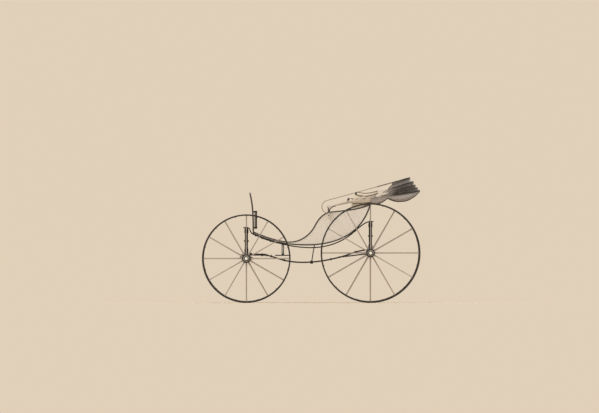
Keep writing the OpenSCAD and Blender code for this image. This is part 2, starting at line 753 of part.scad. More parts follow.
// Socket for a whip, held behind the dash by two straps.
module whip_socket() {
  wx = foot[0] - 33;
  w0 = foot[1] + 52;
  wl = 207;
  reach = dash_frame_t / 2 + 3;
  color("#242324") difference() {
    union() {
      translate([wx, whip_y, w0]) cylinder(h = wl, r = whip_r);
      for (z = [4, wl - 20]) {
        translate([wx, whip_y, w0 + z]) cylinder(h = 16, r = whip_r + 3);
        translate([wx, whip_y - 9, w0 + z]) cube([40, 18, 16]);
      }
    }
    translate([wx, whip_y, w0 + 10]) cylinder(h = wl, r = whip_bore_r);
    along_y(-700, 700) polygon(concat(shifted(dash_line, dash_t / 2 + 0.2),
      [foot + [200, 26 + dash_h], foot + [200, -20]]));
  }
}

// Hanging steps at each side.
module steps() {
  sx = xf - 419;
  sz = front_r + 32;
  hang_y = floor_half_w + 22;
  color("#242324") for (side = [-1, 1])
    mirror([0, side < 0 ? 1 : 0, 0]) {
      translate([sx - step_len / 2, floor_half_w + 6, sz]) cube([step_len, step_wide, 8]);
      difference() {
        union() {
          translate([sx - 14, hang_y, sz + 4]) cube([28, 10, z_low + 40 - sz]);
          translate([sx - 14, loop_y + loop_w / 2 + 4, z_low - 8])
            cube([28, hang_y - loop_y - loop_w / 2 + 2, 80]);
        }
        along_y(-100, 700) polygon(band(low_line, -120, 0));
        translate([sx - 40, hang_y - 1, z_low + 22]) cube([80, 40, 100]);
      }
    }
}

// Brackets on the seat rail with the hood pivot pins and a hook.
module hood_brackets() {
  pin_end = bow_out_y(0);
  color("#8a8076") for (side = [-1, 1])
    mirror([0, side < 0 ? 1 : 0, 0]) difference() {
      union() {
        translate([pivot[0] - 8, half_w(pivot[1]) - 36, pivot[1] - 120])
          cube([16, bow_in_y - half_w(pivot[1]) + 35, 120]);
        rod_y(pivot[0], pivot[1], 16, half_w(pivot[1]) - 36, bow_in_y - 1);
        rod_y(pivot[0], pivot[1], pivot_r, bow_in_y - 4, pin_end + 5);
        rod_y(pivot[0], pivot[1], pivot_r + 6, pin_end + 1, pin_end + 6);
        translate([pivot[0] - 83, bow_in_y - 20, pivot[1] - 67]) rotate([90, 0, 0])
          rotate_extrude(angle = 90) translate([75, 0]) circle(r = 5);
      }
      along_x(pivot[0] - 60, pivot[0] + 60)
        polygon([[0, slab_z0], [half_w(slab_z0), slab_z0],
          [half_w(pivot[1] - 40), pivot[1] - 40], [half_w(pivot[1] - 40) + 6, pivot[1] - 26],
          [half_w(pivot[1] - 40) + 6, slab_z1], [0, slab_z1]]);
    }
}

// Puts a bow's own plane at its folded place: width, radius from the pivot, thickness.
module bow_place(i) {
  a = bows[i][lay];
  multmatrix([[0, -cos(a), sin(a), pivot[0] + bows[i][off] * sin(a)],
    [1, 0, 0, 0],
    [0, sin(a), cos(a), pivot[1] + bows[i][off] * cos(a)],
    [0, 0, 0, 1]]) children();
}

// Outline of a bow between two half widths.
module bow_arch(w, r, rc) {
  translate([-w, 0]) square([2 * w, r - rc]);
  translate([-w + rc, 0]) square([2 * w - 2 * rc, r]);
  for (side = [-1, 1]) translate([side * (w - rc), r - rc]) circle(r = rc, $fn = 96);
}

// Flat iron of a bow seen from the side, with its eye on the pivot.
// The front bow's iron bends round the pivot before it runs back.
module bow_iron(i) {
  a = bows[i][lay];
  d = bows[i][off];
  line = concat([for (k = [0:16]) d * [cos(k * 10 - 70 - a), sin(k * 10 - 70 - a)]],
    [d * bow_up(a) + (wood_from + 30) * bow_dir(a)]);
  difference() {
    union() {
      circle(r = pivot_r + 8);
      if (d > 0) {
        rotate(-70 - a) translate([0, -iron_w / 2]) square([d, iron_w]);
        polygon(band(line, -iron_w / 2, iron_w / 2));
      }
      else
        rotate(180 - a) translate([0, -iron_w / 2]) square([wood_from + 30, iron_w]);
    }
    circle(r = pivot_r + run_clear);
  }
}

// Bent wooden bow carried by an iron at each side.
module bow(i) {
  w = bow_out_y(i);
  d = bows[i][off];
  r = sqrt(bows[i][tip] * bows[i][tip] - d * d);
  color("#8a8076") {
    bow_place(i) translate([0, 0, -bow_t / 2]) linear_extrude(bow_t) difference() {
      bow_arch(w, r, bow_corner);
      bow_arch(w - bow_w, r - bow_w, bow_corner - bow_w);
      translate([-w - 1, -1]) square([2 * w + 2, wood_from + 1]);
    }
    for (side = [-1, 1])
      along_y(side > 0 ? w - iron_t : -w + 0.5, side > 0 ? w - 0.5 : -w + iron_t)
        translate(pivot) bow_iron(i);
  }
}

module hood_bow_1() { bow(0); }
module hood_bow_2() { bow(1); }
module hood_bow_3() { bow(2); }
module hood_bow_4() { bow(3); }
module hood_bow_5() { bow(4); }

// Outline of the leather over the bows, its corners in short flats.
function arch_pts(w, r, rc, low) = concat([[-w, low]],
  [for (k = [0:12]) [-w + rc - rc * cos(k * 7.5), r - rc + rc * sin(k * 7.5)]],
  [for (k = [12:-1:0]) [w - rc + rc * cos(k * 7.5), r - rc + rc * sin(k * 7.5)]], [[w, low]]);

// Leather between a bow and the one behind it.
module hood_leather(i) {
  a = bows[i];
  b = bows[i + 1];
  ia = pivot + a[off] * bow_up(a[lay]) - (bow_t / 2 + seat_gap) * bow_up(a[lay]);
  ib = pivot + (bow_t / 2 + seat_gap) * bow_up(b[lay]);
  m = (a[lay] + b[lay]) / 2;
  w = bow_out_y(i + 1);
  r = min(a[tip], b[tip]) - 4;
  r0 = 680;
  color("#262324") intersection() {
    along_y(-w, w) polygon([ib + r0 * bow_dir(b[lay]), ib + 1200 * bow_dir(b[lay]),
      ia + 1200 * bow_dir(a[lay]), ia + r0 * bow_dir(a[lay])]);
    multmatrix([[0, -cos(m), sin(m), pivot[0]], [1, 0, 0, 0], [0, sin(m), cos(m), pivot[1]],
      [0, 0, 0, 1]])
      translate([0, 0, -120]) linear_extrude(300) difference() {
        polygon(arch_pts(w, r, bow_corner, 0));
        polygon(arch_pts(w - leather_t, r - leather_t, bow_corner - leather_t, -2));
      }
  }
}

module hood_leather_1() { hood_leather(0); }
module hood_leather_2() { hood_leather(1); }
module hood_leather_3() { hood_leather(2); }
module hood_leather_4() { hood_leather(3); }

// Bag of leather that hangs behind the seat under the folded bows.
module hood_back() {
  under = pivot - 14 * bow_up(bows[4][lay]);
  t0 = under + 640 * bow_dir(bows[4][lay]);
  t1 = under + 1046 * bow_dir(bows[4][lay]);
  roll = back_off(0, 1, roll_low_f(0), roll_low_r + 0.6);
  start = [xr - 30, zr + 214];
  notch = [xr - 191, zr + 256];
  color("#262324") difference() {
    union() {
      along_y(200 - bow_in_y, bow_in_y - 200) polygon(concat(
        bez_pts([start, start + [-40, -26], notch + [52, -42], notch], 10),
        [t0, [roll[0] - roll_low_r - 8, t0[1] - 4], [roll[0], roll[2]]]));
      along_y(60 - bow_in_y, bow_in_y - 60) polygon(concat(
        bez_pts([notch, notch + [-88, -70], t1 + [60, -140], t1], 14), [t0, t0 + [0, -20]]));
    }
    rod_y(roll[0], roll[2], roll_low_r + 0.5, 190 - bow_in_y, bow_in_y - 190);
  }
}

tyre_front_left();
rim_front_left();
spokes_front_left();
hub_front_left();
tyre_front_right();
rim_front_right();
spokes_front_right();
hub_front_right();
tyre_rear_left();
rim_rear_left();
spokes_rear_left();
hub_rear_left();
tyre_rear_right();
rim_rear_right();
spokes_rear_right();
hub_rear_right();
front_axle();
front_axle_bed();
fifth_wheel_lower();
shaft_couplings();
rear_axle();
rear_axle_bed();
fifth_wheel_upper();
head_block();
king_bolt();
perch();
perch_stays();
front_spring_lower();
front_spring_upper();
rear_spring_lower();
rear_spring_upper();
spring_bars();
body_loops();
check_strap();
floor_board();
back_board();
side_left();
side_right();
seat_riser();
seat_board();
seat_cushion();
seat_back();
seat_roll_lower();
seat_roll_upper();
dash();
whip_socket();
steps();
hood_brackets();
hood_bow_1();
hood_bow_2();
hood_bow_3();
hood_bow_4();
hood_bow_5();
hood_leather_1();
hood_leather_2();
hood_leather_3();
hood_leather_4();
hood_back();
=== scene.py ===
"""Looks of the light phaeton: materials, upholstery, folded hood, fittings, light and camera."""
import math

import bmesh
import bpy
import numpy as np
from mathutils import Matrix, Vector


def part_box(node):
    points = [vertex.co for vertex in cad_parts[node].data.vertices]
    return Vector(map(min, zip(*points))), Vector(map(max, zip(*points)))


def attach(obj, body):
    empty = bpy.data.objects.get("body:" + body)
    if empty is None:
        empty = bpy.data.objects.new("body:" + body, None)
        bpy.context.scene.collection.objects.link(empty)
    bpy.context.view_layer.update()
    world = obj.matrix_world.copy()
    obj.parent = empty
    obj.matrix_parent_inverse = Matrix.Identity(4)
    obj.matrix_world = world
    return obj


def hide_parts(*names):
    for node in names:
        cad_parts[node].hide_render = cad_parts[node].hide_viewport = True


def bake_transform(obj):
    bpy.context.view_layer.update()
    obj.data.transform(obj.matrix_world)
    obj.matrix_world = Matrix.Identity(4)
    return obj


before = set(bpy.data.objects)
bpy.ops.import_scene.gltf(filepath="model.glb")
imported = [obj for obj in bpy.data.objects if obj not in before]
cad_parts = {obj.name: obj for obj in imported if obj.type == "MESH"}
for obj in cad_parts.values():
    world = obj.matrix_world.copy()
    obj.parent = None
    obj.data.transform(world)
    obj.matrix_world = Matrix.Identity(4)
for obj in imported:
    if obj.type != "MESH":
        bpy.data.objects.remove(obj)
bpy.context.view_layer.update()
scene = bpy.context.scene
MM, UP = 0.001, (0, 0, 1)

# Sizes of the frame, in millimetres.
FRONT_R, REAR_R, HALF_TRACK = 508.0, 572.0, 700.0
XF, XR, WHEELBASE = 745.0, -681.0, 1426.0
ZF, ZR, Z_LOW = 859.3, 929.0, 661.15
HEAD_TOP, FRONT_BAR, REAR_BED_TOP, REAR_BAR = 577.3, 842.3, 622.0, 912.0
AXLE_HALF, HUB_IN, HUB_OUT, HUB_R, HUB_END_R = 15.0, 105.0, 44.0, 50.0, 36.0
TYRE_T, FELLOE_D, DISH, SPOKES = 4.5, 12.0, 28.0, 12
LOOP_Y, LOOP_T, FLOOR_T, FLOOR_HALF, FLARE = 290.0, 12.0, 22.0, 370.0, 0.175
RAIL_RUN, RAIL_UP, RAIL_RISE, RAIL_CURL = 459.0, 119.0, 45.0, 43.0
DASH_H, DASH_HALF, DASH_CORNER, DASH_FACE = 466.0, 392.0, 70.0, 3.2
STEP_X, STEP_Z, STEP_HALF, STEP_ARM_Y = XF - 419, FRONT_R + 40, 86.0, 402.0
PIVOT = np.array([-198.0, 0.0, 1102.0])
WHEELS = {
    "front_left": (XF, 1, FRONT_R), "front_right": (XF, -1, FRONT_R),
    "rear_left": (XR, 1, REAR_R), "rear_right": (XR, -1, REAR_R),
}


# Curves of the frame
def bez(points, n, first=0):
    p = [np.array(q, float) for q in points]
    out = []
    for i in range(first, n + 1):
        t, u = i / n, 1 - i / n
        out.append(u**3 * p[0] + 3 * u * u * t * p[1] + 3 * u * t * t * p[2] + t**3 * p[3])
    return out


def unit(v):
    return v / np.linalg.norm(v, axis=-1, keepdims=True)


def offset(path, d):
    """A side-view path moved square to itself by d."""
    p = np.array(path, float)
    t = unit(np.gradient(p, axis=0))
    return p + d * np.stack([-t[:, 1], t[:, 0]], 1)


def smooth(t):
    t = np.clip(t, 0, 1)
    return t * t * (3 - 2 * t)


def lerp(a, b, f):
    return a + (b - a) * f


foot = np.array([XF - 74, ZF - 62])
low_mid = np.array([XF - 0.4733 * WHEELBASE, Z_LOW])
tail = np.array([XR - 2, ZR + 207])
low_line = bez([foot, foot + [-171, -82], low_mid + [259.5, 0], low_mid], 28) + bez(
    [low_mid, low_mid + [-370.8, -6], tail + [83, -336], tail], 36, 1)
rail_x0 = XR + 461


def rail_z(x):
    u = (rail_x0 - x) / RAIL_RUN
    return ZR + RAIL_UP + RAIL_RISE * u + RAIL_CURL * u**4


def half_w(z):
    return FLOOR_HALF + (z - Z_LOW) * FLARE


rail_start = np.array([rail_x0, rail_z(rail_x0)])
toe_end = np.array([low_mid[0] + 175.4, Z_LOW + 43])
knee = np.array([rail_x0 + 184, lerp(Z_LOW, rail_start[1], 0.574)])
top_line = (
    bez([foot + [-6, 25], foot + [-141.2, -37], toe_end + [135.5, 0], toe_end], 20)
    + bez([toe_end, toe_end + [-135.5, -2], knee + [41, -83], knee], 16, 1)
    + bez([knee, knee + [-35, 71], rail_start + [90, -13], rail_start], 16, 1)
    + [np.array([x, rail_z(x)]) for x in np.linspace(rail_x0, rail_x0 - RAIL_RUN, 25)[1:]])
dash_line = [foot + [-5, -20]] + bez(
    [foot + [-5, 26], foot + [-4, 268], foot + [5, 334], foot + [33, DASH_H]], 24)

perch_x0, perch_z0 = XF - 48 - 131, 555.3 - 8.5
perch_end = np.array([XR + 20, REAR_R + 34])
perch_low = np.array([XF - 645, lerp(FRONT_R, REAR_R, 0.4) - 70])
perch_fork = np.array([XR + 335, perch_low[1] + 64])
perch_line = np.array(
    [[perch_x0, perch_z0]]
    + bez([[perch_x0 - 44, perch_z0], [perch_x0 - 140, perch_z0 - 10],
           perch_low + [230, 0], perch_low], 24)
    + bez([perch_low, perch_low + [-180, 0], perch_fork + [126, -32], perch_fork], 20, 1)
    + bez([perch_fork, perch_fork + [-94, 25], perch_end + [121, 2], perch_end], 20, 1))


# Seat back: q runs from 0 at the middle of the back to 1 at the front end of each side.
back_low_w = half_w(rail_z(XR + 120)) - 8
Q_BACK, Q_CORNER, BACK_T = 0.3, 0.58, 16.0


def plan_pt(q, side, hw, x0, x1, rc):
    if q <= Q_BACK:
        return np.array([x1, side * (hw - rc) * q / Q_BACK])
    if q <= Q_CORNER:
        a = math.radians(90 * (q - Q_BACK) / (Q_CORNER - Q_BACK))
        return np.array([x1 + rc * (1 - math.cos(a)), side * (hw - rc + rc * math.sin(a))])
    return np.array([lerp(x1 + rc, x0, (q - Q_CORNER) / (1 - Q_CORNER)), side * hw])


def plan_normal(q, side):
    a = math.radians(90 * min(1, max(0, (q - Q_BACK) / (Q_CORNER - Q_BACK))))
    return np.array([-math.cos(a), side * math.sin(a), 0.0])


def back_low(q, side):
    p = plan_pt(q, side, back_low_w, XR + 236, XR + 4, 110)
    return np.array([p[0], p[1], rail_z(p[0]) + 0.3])


def back_top(q, side):
    p = plan_pt(q, side, back_low_w + 4, XR + 172, XR - 80, 130)
    d = p[0] - XR - 60
    return np.array([p[0], p[1], ZR + 292 + (14 * d * d / 10000 if d > 0 else 40 * d * d / 26000)])


def back_off(q, side, f, d):
    """A point at a share f of the seat back's height, d millimetres outside its face."""
    a, b, n = back_low(q, side), back_top(q, side), plan_normal(q, side)
    k = float((b - a)[:2] @ n[:2]) / (b[2] - a[2])
    s = math.sqrt(1 + k * k)
    return lerp(a, b, f) + d / s * np.array([n[0], n[1], -k])


def stations(n):
    """(q, side) from the left front end round the back to the right front end."""
    qs = np.linspace(1, 0, n)
    return [(q, 1) for q in qs] + [(q, -1) for q in qs[::-1][1:]]


# Mesh building
class Build:
    """Vertices in millimetres and faces of one piece."""

    def __init__(self):
        self.v, self.f = [], []

    def add(self, verts, faces):
        n = len(self.v)
        self.v.extend(tuple(float(c) for c in p) for p in verts)
        self.f.extend(tuple(i + n for i in f) for f in faces)

    def rings(self, rings, closed=False):
        m, k, faces = len(rings[0]), len(rings), []
        for i in range(k if closed else k - 1):
            j = (i + 1) % k
            for a in range(m):
                b = (a + 1) % m
                faces.append((i * m + a, i * m + b, j * m + b, j * m + a))
        if not closed:
            faces += [tuple(range(m))[::-1], tuple((k - 1) * m + a for a in range(m))]
        self.add([p for r in rings for p in r], faces)

    def sweep(self, path, profile, up=(0, 1, 0), closed=False, scale=None):
        p = np.asarray(path, float)
        t = unit(np.roll(p, -1, 0) - np.roll(p, 1, 0) if closed else np.gradient(p, axis=0))
        up = np.asarray(up, float)
        u = unit(up - (t @ up)[:, None] * t)
        v = np.cross(t, u)
        s = np.ones(len(p)) if scale is None else np.asarray(scale)
        self.rings([[p[i] + s[i] * (a * u[i] + b * v[i]) for a, b in profile]
                    for i in range(len(p))], closed)

    def tube(self, path, r, n=10, up=(0, 1, 0), closed=False):
        """Round bar with domed ends."""
        p, s = np.asarray(path, float), None
        if not closed:
            a, b = unit(p[0] - p[1]), unit(p[-1] - p[-2])
            p = np.vstack([p[0] + a * r * 0.9, p[0] + a * r * 0.55, p,
                           p[-1] + b * r * 0.55, p[-1] + b * r * 0.9])
            s = [0.4, 0.83] + [1] * (len(p) - 4) + [0.83, 0.4]
        self.sweep(p, circle(r, n), up, closed, s)

    def lathe(self, origin, axis, profile, n=24):
        """Turned form round an axis, from (radius, place along the axis)."""
        w = unit(np.asarray(axis, float))
        u = unit(np.cross(w, [0, 0, 1] if abs(w[2]) < 0.9 else [1, 0, 0]))
        v = np.cross(w, u)
        o = np.asarray(origin, float)
        self.rings([[o + h * w + c * u + s * v for c, s in circle(r, n)] for r, h in profile])

    def band(self, origin, axis, h0, h1, r, wall, bevel, n):
        """Band round an axis from h0 to h1, bevelled at both ends."""
        first = [(r - wall, h0), (r - bevel, h0), (r, h0 + bevel)]
        self.lathe(origin, axis, first + [(q, h0 + h1 - h) for q, h in first[::-1]], n)

    def box(self, centre, half, axes=((1, 0, 0), (0, 1, 0), (0, 0, 1)), bevel=1.5):
        c, ax, k = np.asarray(centre, float), np.asarray(axes, float), bevel
        rings = []
        for z, inset in ((-half[2], k), (k - half[2], 0), (half[2] - k, 0), (half[2], k)):
            a, b = half[0] - inset, half[1] - inset
            flat = [(-a, -b + k), (-a + k, -b), (a - k, -b), (a, -b + k),
                    (a, b - k), (a - k, b), (-a + k, b), (-a, b - k)]
            rings.append([c + x * ax[0] + y * ax[1] + z * ax[2] for x, y in flat])
        self.rings(rings)

    def nut(self, p, axis, r, h):
        self.lathe(p, axis, [(r * 0.9, -1), (r, h * 0.15), (r, h * 0.75), (r * 0.8, h)], 6)
        self.lathe(p, axis, [(r * 0.5, h * 0.8), (r * 0.5, h * 1.3), (r * 0.3, h * 1.5)], 10)

    def shell(self, grid, thick=0.0, back=None):
        """Sheet with a front, a back and rims, from a grid of points and a thickness or a second grid."""
        g = np.asarray(grid, float)
        nu, nv = g.shape[:2]
        if back is None:
            n = np.cross(np.gradient(g, axis=0), np.gradient(g, axis=1))
            n /= np.maximum(np.linalg.norm(n, axis=2), 1e-9)[..., None]
            back = g - thick * n
        k = nu * nv
        faces = []
        for i in range(nu - 1):
            for j in range(nv - 1):
                a, b, c, d = i * nv + j, i * nv + j + 1, (i + 1) * nv + j + 1, (i + 1) * nv + j
                faces += [(a, b, c, d), (k + d, k + c, k + b, k + a)]
        rim = ([(0, j) for j in range(nv)] + [(i, nv - 1) for i in range(1, nu)]
               + [(nu - 1, j) for j in range(nv - 2, -1, -1)] + [(i, 0) for i in range(nu - 2, 0, -1)])
        loop = [i * nv + j for i, j in rim]
        for a, b in zip(loop, loop[1:] + loop[:1]):
            faces.append((b, a, k + a, k + b))
        self.add(np.vstack([g.reshape(-1, 3), np.asarray(back, float).reshape(-1, 3)]), faces)


def circle(r, n):
    return [(r * math.cos(a), r * math.sin(a)) for a in np.linspace(0, 2 * math.pi, n, endpoint=False)]


def rounded(hx, hy, r):
    """Rectangle profile with rounded corners."""
    out = []
    for sx, sy, start in ((1, 1, 0), (-1, 1, 90), (-1, -1, 180), (1, -1, 270)):
        for turn in (0, 30, 60, 90):
            a = math.radians(start + turn)
            out.append((sx * (hx - r) + r * math.cos(a), sy * (hy - r) + r * math.sin(a)))
    return out


def shown(name, data):
    """New object in the scene."""
    o = bpy.data.objects.new(name, data)
    scene.collection.objects.link(o)
    return o


def piece(name, b, mat, body="carriage", replaces=(), angle=40):
    """Object from a Build, riding on a body unless that is None, with edges sharper than angle left sharp."""
    me = bpy.data.meshes.new(name)
    me.from_pydata([(x * MM, y * MM, z * MM) for x, y, z in b.v], [], b.f)
    me.validate()
    bm = bmesh.new()
    bm.from_mesh(me)
    bmesh.ops.recalc_face_normals(bm, faces=bm.faces)
    bm.to_mesh(me)
    bm.free()
    me.polygons.foreach_set("use_smooth", [True] * len(me.polygons))
    me.set_sharp_from_angle(angle=math.radians(angle))
    me.materials.append(mat.m)
    o = shown(name, me)
    if body:
        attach(o, body)
    if replaces:
        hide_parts(*replaces)
    return o


# Materials
def srgb(*rgb):
    return tuple((c / 255 / 12.92 if c <= 10 else ((c / 255 + 0.055) / 1.055) ** 2.4) for c in rgb) + (1,)


def shade(c, k):
    return tuple(min(1.0, v * k) for v in c[:3]) + (1,)


def node(tree, kind, **values):
    """New shader node with the given values in its inputs."""
    n = tree.nodes.new("ShaderNode" + kind)
    for socket, v in values.items():
        n.inputs[socket.replace("_", " ")].default_value = v
    return n


class Mat:
    """Principled material with object-space textures. It keeps a slot that nothing uses."""

    def __init__(self, name, colour, rough, vary=0.12, scale=9.0, stretch=(1, 1, 1), metal=0.0, coat=0.0,
                 sheen=0.0, slot=None):
        self.slot = slot
        self.m = bpy.data.materials.new(name)
        self.m.use_nodes = True
        self.t = self.m.node_tree
        self.t.nodes.clear()
        self.out = self.n("OutputMaterial")
        self.b = self.n("BsdfPrincipled", Metallic=metal, Coat_Weight=coat, Coat_Roughness=0.18,
                        Sheen_Weight=sheen)
        self.link(self.b.outputs[0], self.out.inputs[0])
        self.tc = self.n("TexCoord")
        mp = self.n("Mapping", Scale=stretch)
        self.link(self.tc.outputs["Object"], mp.inputs[0])
        self.co = mp.outputs[0]
        self.noise = self.cloud(scale, 7.0, 0.62)
        ramp = self.n("ValToRGB")
        stops = ramp.color_ramp.elements
        stops.new(0.5)
        for stop, place, k in zip(stops, (0.3, 0.5, 0.7), (1 - vary, 1, 1 + vary)):
            stop.position, stop.color = place, shade(colour, k)
        self.link(self.noise, ramp.inputs[0])
        self.colour = ramp.outputs[0]
        self.link(self.colour, self.b.inputs["Base Color"])
        self.link(self.steps(self.noise, 0.3, 0.7, (rough - 0.08, rough + 0.08), "LINEAR"),
                  self.b.inputs["Roughness"])

    def n(self, kind, **values):
        return node(self.t, kind, **values)

    def link(self, a, b):
        self.t.links.new(a, b)

    def tex(self, kind, **values):
        t = self.n("Tex" + kind, **values)
        self.link(self.co, t.inputs["Vector"])
        return t

    def cloud(self, scale, detail, rough=0.5):
        return self.tex("Noise", Scale=scale, Detail=detail, Roughness=rough).outputs[0]

    def math(self, op, a, b=0.0):
        m = self.n("Math")
        m.operation = op
        for i, v in enumerate((a, b)):
            if isinstance(v, (int, float)):
                m.inputs[i].default_value = v
            else:
                self.link(v, m.inputs[i])
        return m.outputs[0]

    def add(self, a, b):
        return self.math("ADD", a, b)

    def mul(self, a, b):
        return self.math("MULTIPLY", a, b)

    def below(self, value, low, high):
        """1 under low, 0 over high."""
        return self.math("SUBTRACT", 1.0, self.steps(value, low, high))

    def reach(self, a, b):
        """Distance from the origin of a plane."""
        return self.math("SQRT", self.add(self.mul(a, a), self.mul(b, b)))

    def paint(self, fac, colour):
        """Lays another colour over the base where fac is 1."""
        m = self.n("Mix")
        m.data_type = "RGBA"
        self.link(fac, m.inputs["Factor"])
        self.link(self.colour, m.inputs[6])
        m.inputs[7].default_value = colour
        self.colour = m.outputs[2]
        self.link(self.colour, self.b.inputs["Base Color"])

    def steps(self, value, low, high, to=(0.0, 1.0), kind="SMOOTHSTEP"):
        r = self.n("MapRange", From_Min=low, From_Max=high, To_Min=to[0], To_Max=to[1])
        r.interpolation_type = kind
        self.link(value, r.inputs["Value"])
        return r.outputs[0]

    def axis(self, i, output="Object"):
        s = self.n("SeparateXYZ")
        self.link(self.tc.outputs[output], s.inputs[0])
        return s.outputs[i]

    def bump(self, height, strength, distance):
        b = self.n("Bump", Strength=strength, Distance=distance)
        self.link(height, b.inputs["Height"])
        self.link(b.outputs[0], self.b.inputs["Normal"])
        return self


def wood_paint(name, colour, rough, **kw):
    m = Mat(name, colour, rough, **kw)
    return m.bump(m.cloud(60, 4.0), 0.12, 0.0015)


def leather(name, colour, rough, crease_shading=1.9, **kw):
    m = Mat(name, colour, rough, slot="hood_leather", **kw)
    cells = m.tex("Voronoi", Scale=330).outputs["Distance"]
    creases = m.cloud(26, 9.0, 0.7)
    # The creases are painted a shade of the leather's colour. On the hood, dash, strap and socket leathers
    # they are lighter, a painted sheen; on the hanging leather they are darker, a painted shade.
    m.paint(m.steps(creases, 0.56, 0.74), shade(colour, crease_shading))
    return m.bump(m.add(m.mul(cells, 0.5), m.mul(creases, 0.8)), 0.45, 0.0016)


def cloth(name, colour, rough, slot="trim_cloth", **kw):
    m = Mat(name, colour, rough, sheen=0.35, slot=slot, **kw)
    waves = []
    for d in "XYZ":
        w = m.tex("Wave", Scale=120, Distortion=1.2)
        w.bands_direction = d
        waves.append(w.outputs["Fac"])
    weave = m.add(m.mul(waves[0], waves[1]), m.mul(waves[1], waves[2]))
    m.paint(m.mul(weave, 0.10), shade(colour, 0.7))
    fuzz = m.cloud(420, 3.0)
    return m.bump(m.add(m.mul(weave, 0.6), fuzz), 0.35, 0.0009)


BLACK, IRON = srgb(30, 27, 27), srgb(34, 32, 33)
BUFF, DRAB, CREAM = srgb(237, 226, 211), srgb(172, 156, 142), srgb(236, 220, 198)
HIDE, BELLY = srgb(36, 31, 31), srgb(167, 156, 147)

mat_black = wood_paint("black_varnish", BLACK, 0.32, vary=0.25, coat=0.25, slot="black_wood")
m = mat_iron = Mat("black_iron", IRON, 0.42, vary=0.3, scale=18, metal=0.25, slot="black_iron")
rust = m.cloud(55, 8.0, 0.75)
m.paint(m.steps(rust, 0.60, 0.78), srgb(64, 50, 42))
m.bump(rust, 0.2, 0.0012)
# The foot of each hood bracket is painted with the panel it stands on.
m = mat_bracket = Mat("bracket_iron", IRON, 0.42, vary=0.3, scale=18)
m.bump(m.noise, 0.2, 0.0012)
m.paint(m.below(m.axis(2), 1.034, 1.042), BUFF)
m = mat_tyre = Mat("tyre_iron", srgb(46, 44, 44), 0.48, vary=0.3, scale=22, metal=0.55)
scuff = m.cloud(90, 8.0, 0.8)
m.paint(m.steps(scuff, 0.56, 0.75), srgb(92, 80, 70))
m.bump(scuff, 0.35, 0.0015)
m = mat_body = wood_paint("stone_buff", BUFF, 0.3, vary=0.035, scale=3.5, coat=0.35, slot="body_paint")
m.paint(m.mul(m.steps(m.cloud(1.6, 5.0), 0.45, 0.8), 0.5), shade(BUFF, 0.9))
# Spokes are darker on the sides that face along the rim.
m = mat_spoke = wood_paint("spoke_drab", DRAB, 0.36, vary=0.07, scale=14, coat=0.2, slot="spoke_wood")
m.paint(m.below(m.math("ABSOLUTE", m.axis(1, "Normal")), 0.30, 0.62), srgb(88, 78, 72))
mat_hub = wood_paint("hub_black", srgb(26, 24, 24), 0.46, vary=0.25, coat=0.1)
m = mat_wood = Mat("seat_wood", srgb(150, 116, 78), 0.5, vary=0.3, scale=7, stretch=(2, 14, 14))
m.bump(m.noise, 0.25, 0.002)
mat_cloth = cloth("drab_cloth", CREAM, 0.8, vary=0.05)
mat_roll = cloth("roll_cloth", srgb(240, 222, 196), 0.75, vary=0.05)
mat_carpet = cloth("floor_carpet", srgb(112, 92, 74), 0.9, vary=0.25, scale=60)
mat_hide = leather("hood_hide", HIDE, 0.42, vary=0.3, coat=0.12)
# The panels between the bows are a paler copy of the black hood leather, a painted highlight on the folds.
mat_fold = leather("hood_folds", srgb(120, 112, 105), 0.4, vary=0.24, scale=5, stretch=(3, 3, 7), coat=0.15)
mat_edge = leather("hood_edges", srgb(30, 26, 26), 0.42, vary=0.3, coat=0.12)
for m, pale in ((mat_fold, srgb(176, 164, 153)), (mat_edge, srgb(140, 129, 120))):
    # The leather is painted pale towards the hood's hinge, a painted highlight.
    from_hinge = m.reach(m.add(m.axis(0), -PIVOT[0] * MM), m.add(m.axis(2), -PIVOT[2] * MM))
    m.paint(m.below(from_hinge, 0.66, 0.80), pale)
# The creases of the hanging leather are painted darker, a painted shade.
mat_belly = leather("hood_lining", BELLY, 0.7, crease_shading=0.78, vary=0.14, scale=30)
mat_dash = leather("dash_hide", HIDE, 0.36, vary=0.3, coat=0.2)
mat_strap = leather("strap_hide", srgb(36, 29, 26), 0.5, vary=0.3)
mat_bow = wood_paint("bow_buff", srgb(214, 200, 182), 0.4, vary=0.05, coat=0.15, slot="bow_paint")
mat_front_bow = wood_paint("front_bow_drab", srgb(126, 113, 102), 0.4, vary=0.12, coat=0.15)
mat_nickel = Mat("plated_metal", srgb(214, 204, 186), 0.26, vary=0.06, scale=30, metal=0.85,
                 slot="black_iron")
# The hub caps and the rings round them are painted near-white, a painted highlight on plated caps.
mat_cap = Mat("hub_cap_painted_highlight", srgb(250, 240, 222), 0.3, vary=0.04, scale=30, coat=0.3, slot="hub_black")
for m in (mat_cap, mat_nickel):
    m.bump(m.noise, 0.08, 0.0008)
mat_stitch = cloth("thread", srgb(150, 134, 116), 0.8, slot="hood_leather")
# The side of the whip socket that faces the dash is lined with pale hide between its two collars.
m = mat_socket = leather("socket_hide", srgb(34, 30, 29), 0.4, vary=0.25, coat=0.1)
COLLAR = (0.016, 0.02)
socket_lo, socket_hi = (corner[2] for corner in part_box("whip_socket"))
above = m.steps(m.axis(2), socket_lo + COLLAR[0], socket_lo + COLLAR[1])
below = m.below(m.axis(2), socket_hi - COLLAR[1], socket_hi - COLLAR[0])
to_dash = m.steps(m.axis(0, "Normal"), 0.0, 0.2)
m.paint(m.mul(m.mul(above, below), to_dash), srgb(226, 209, 187))

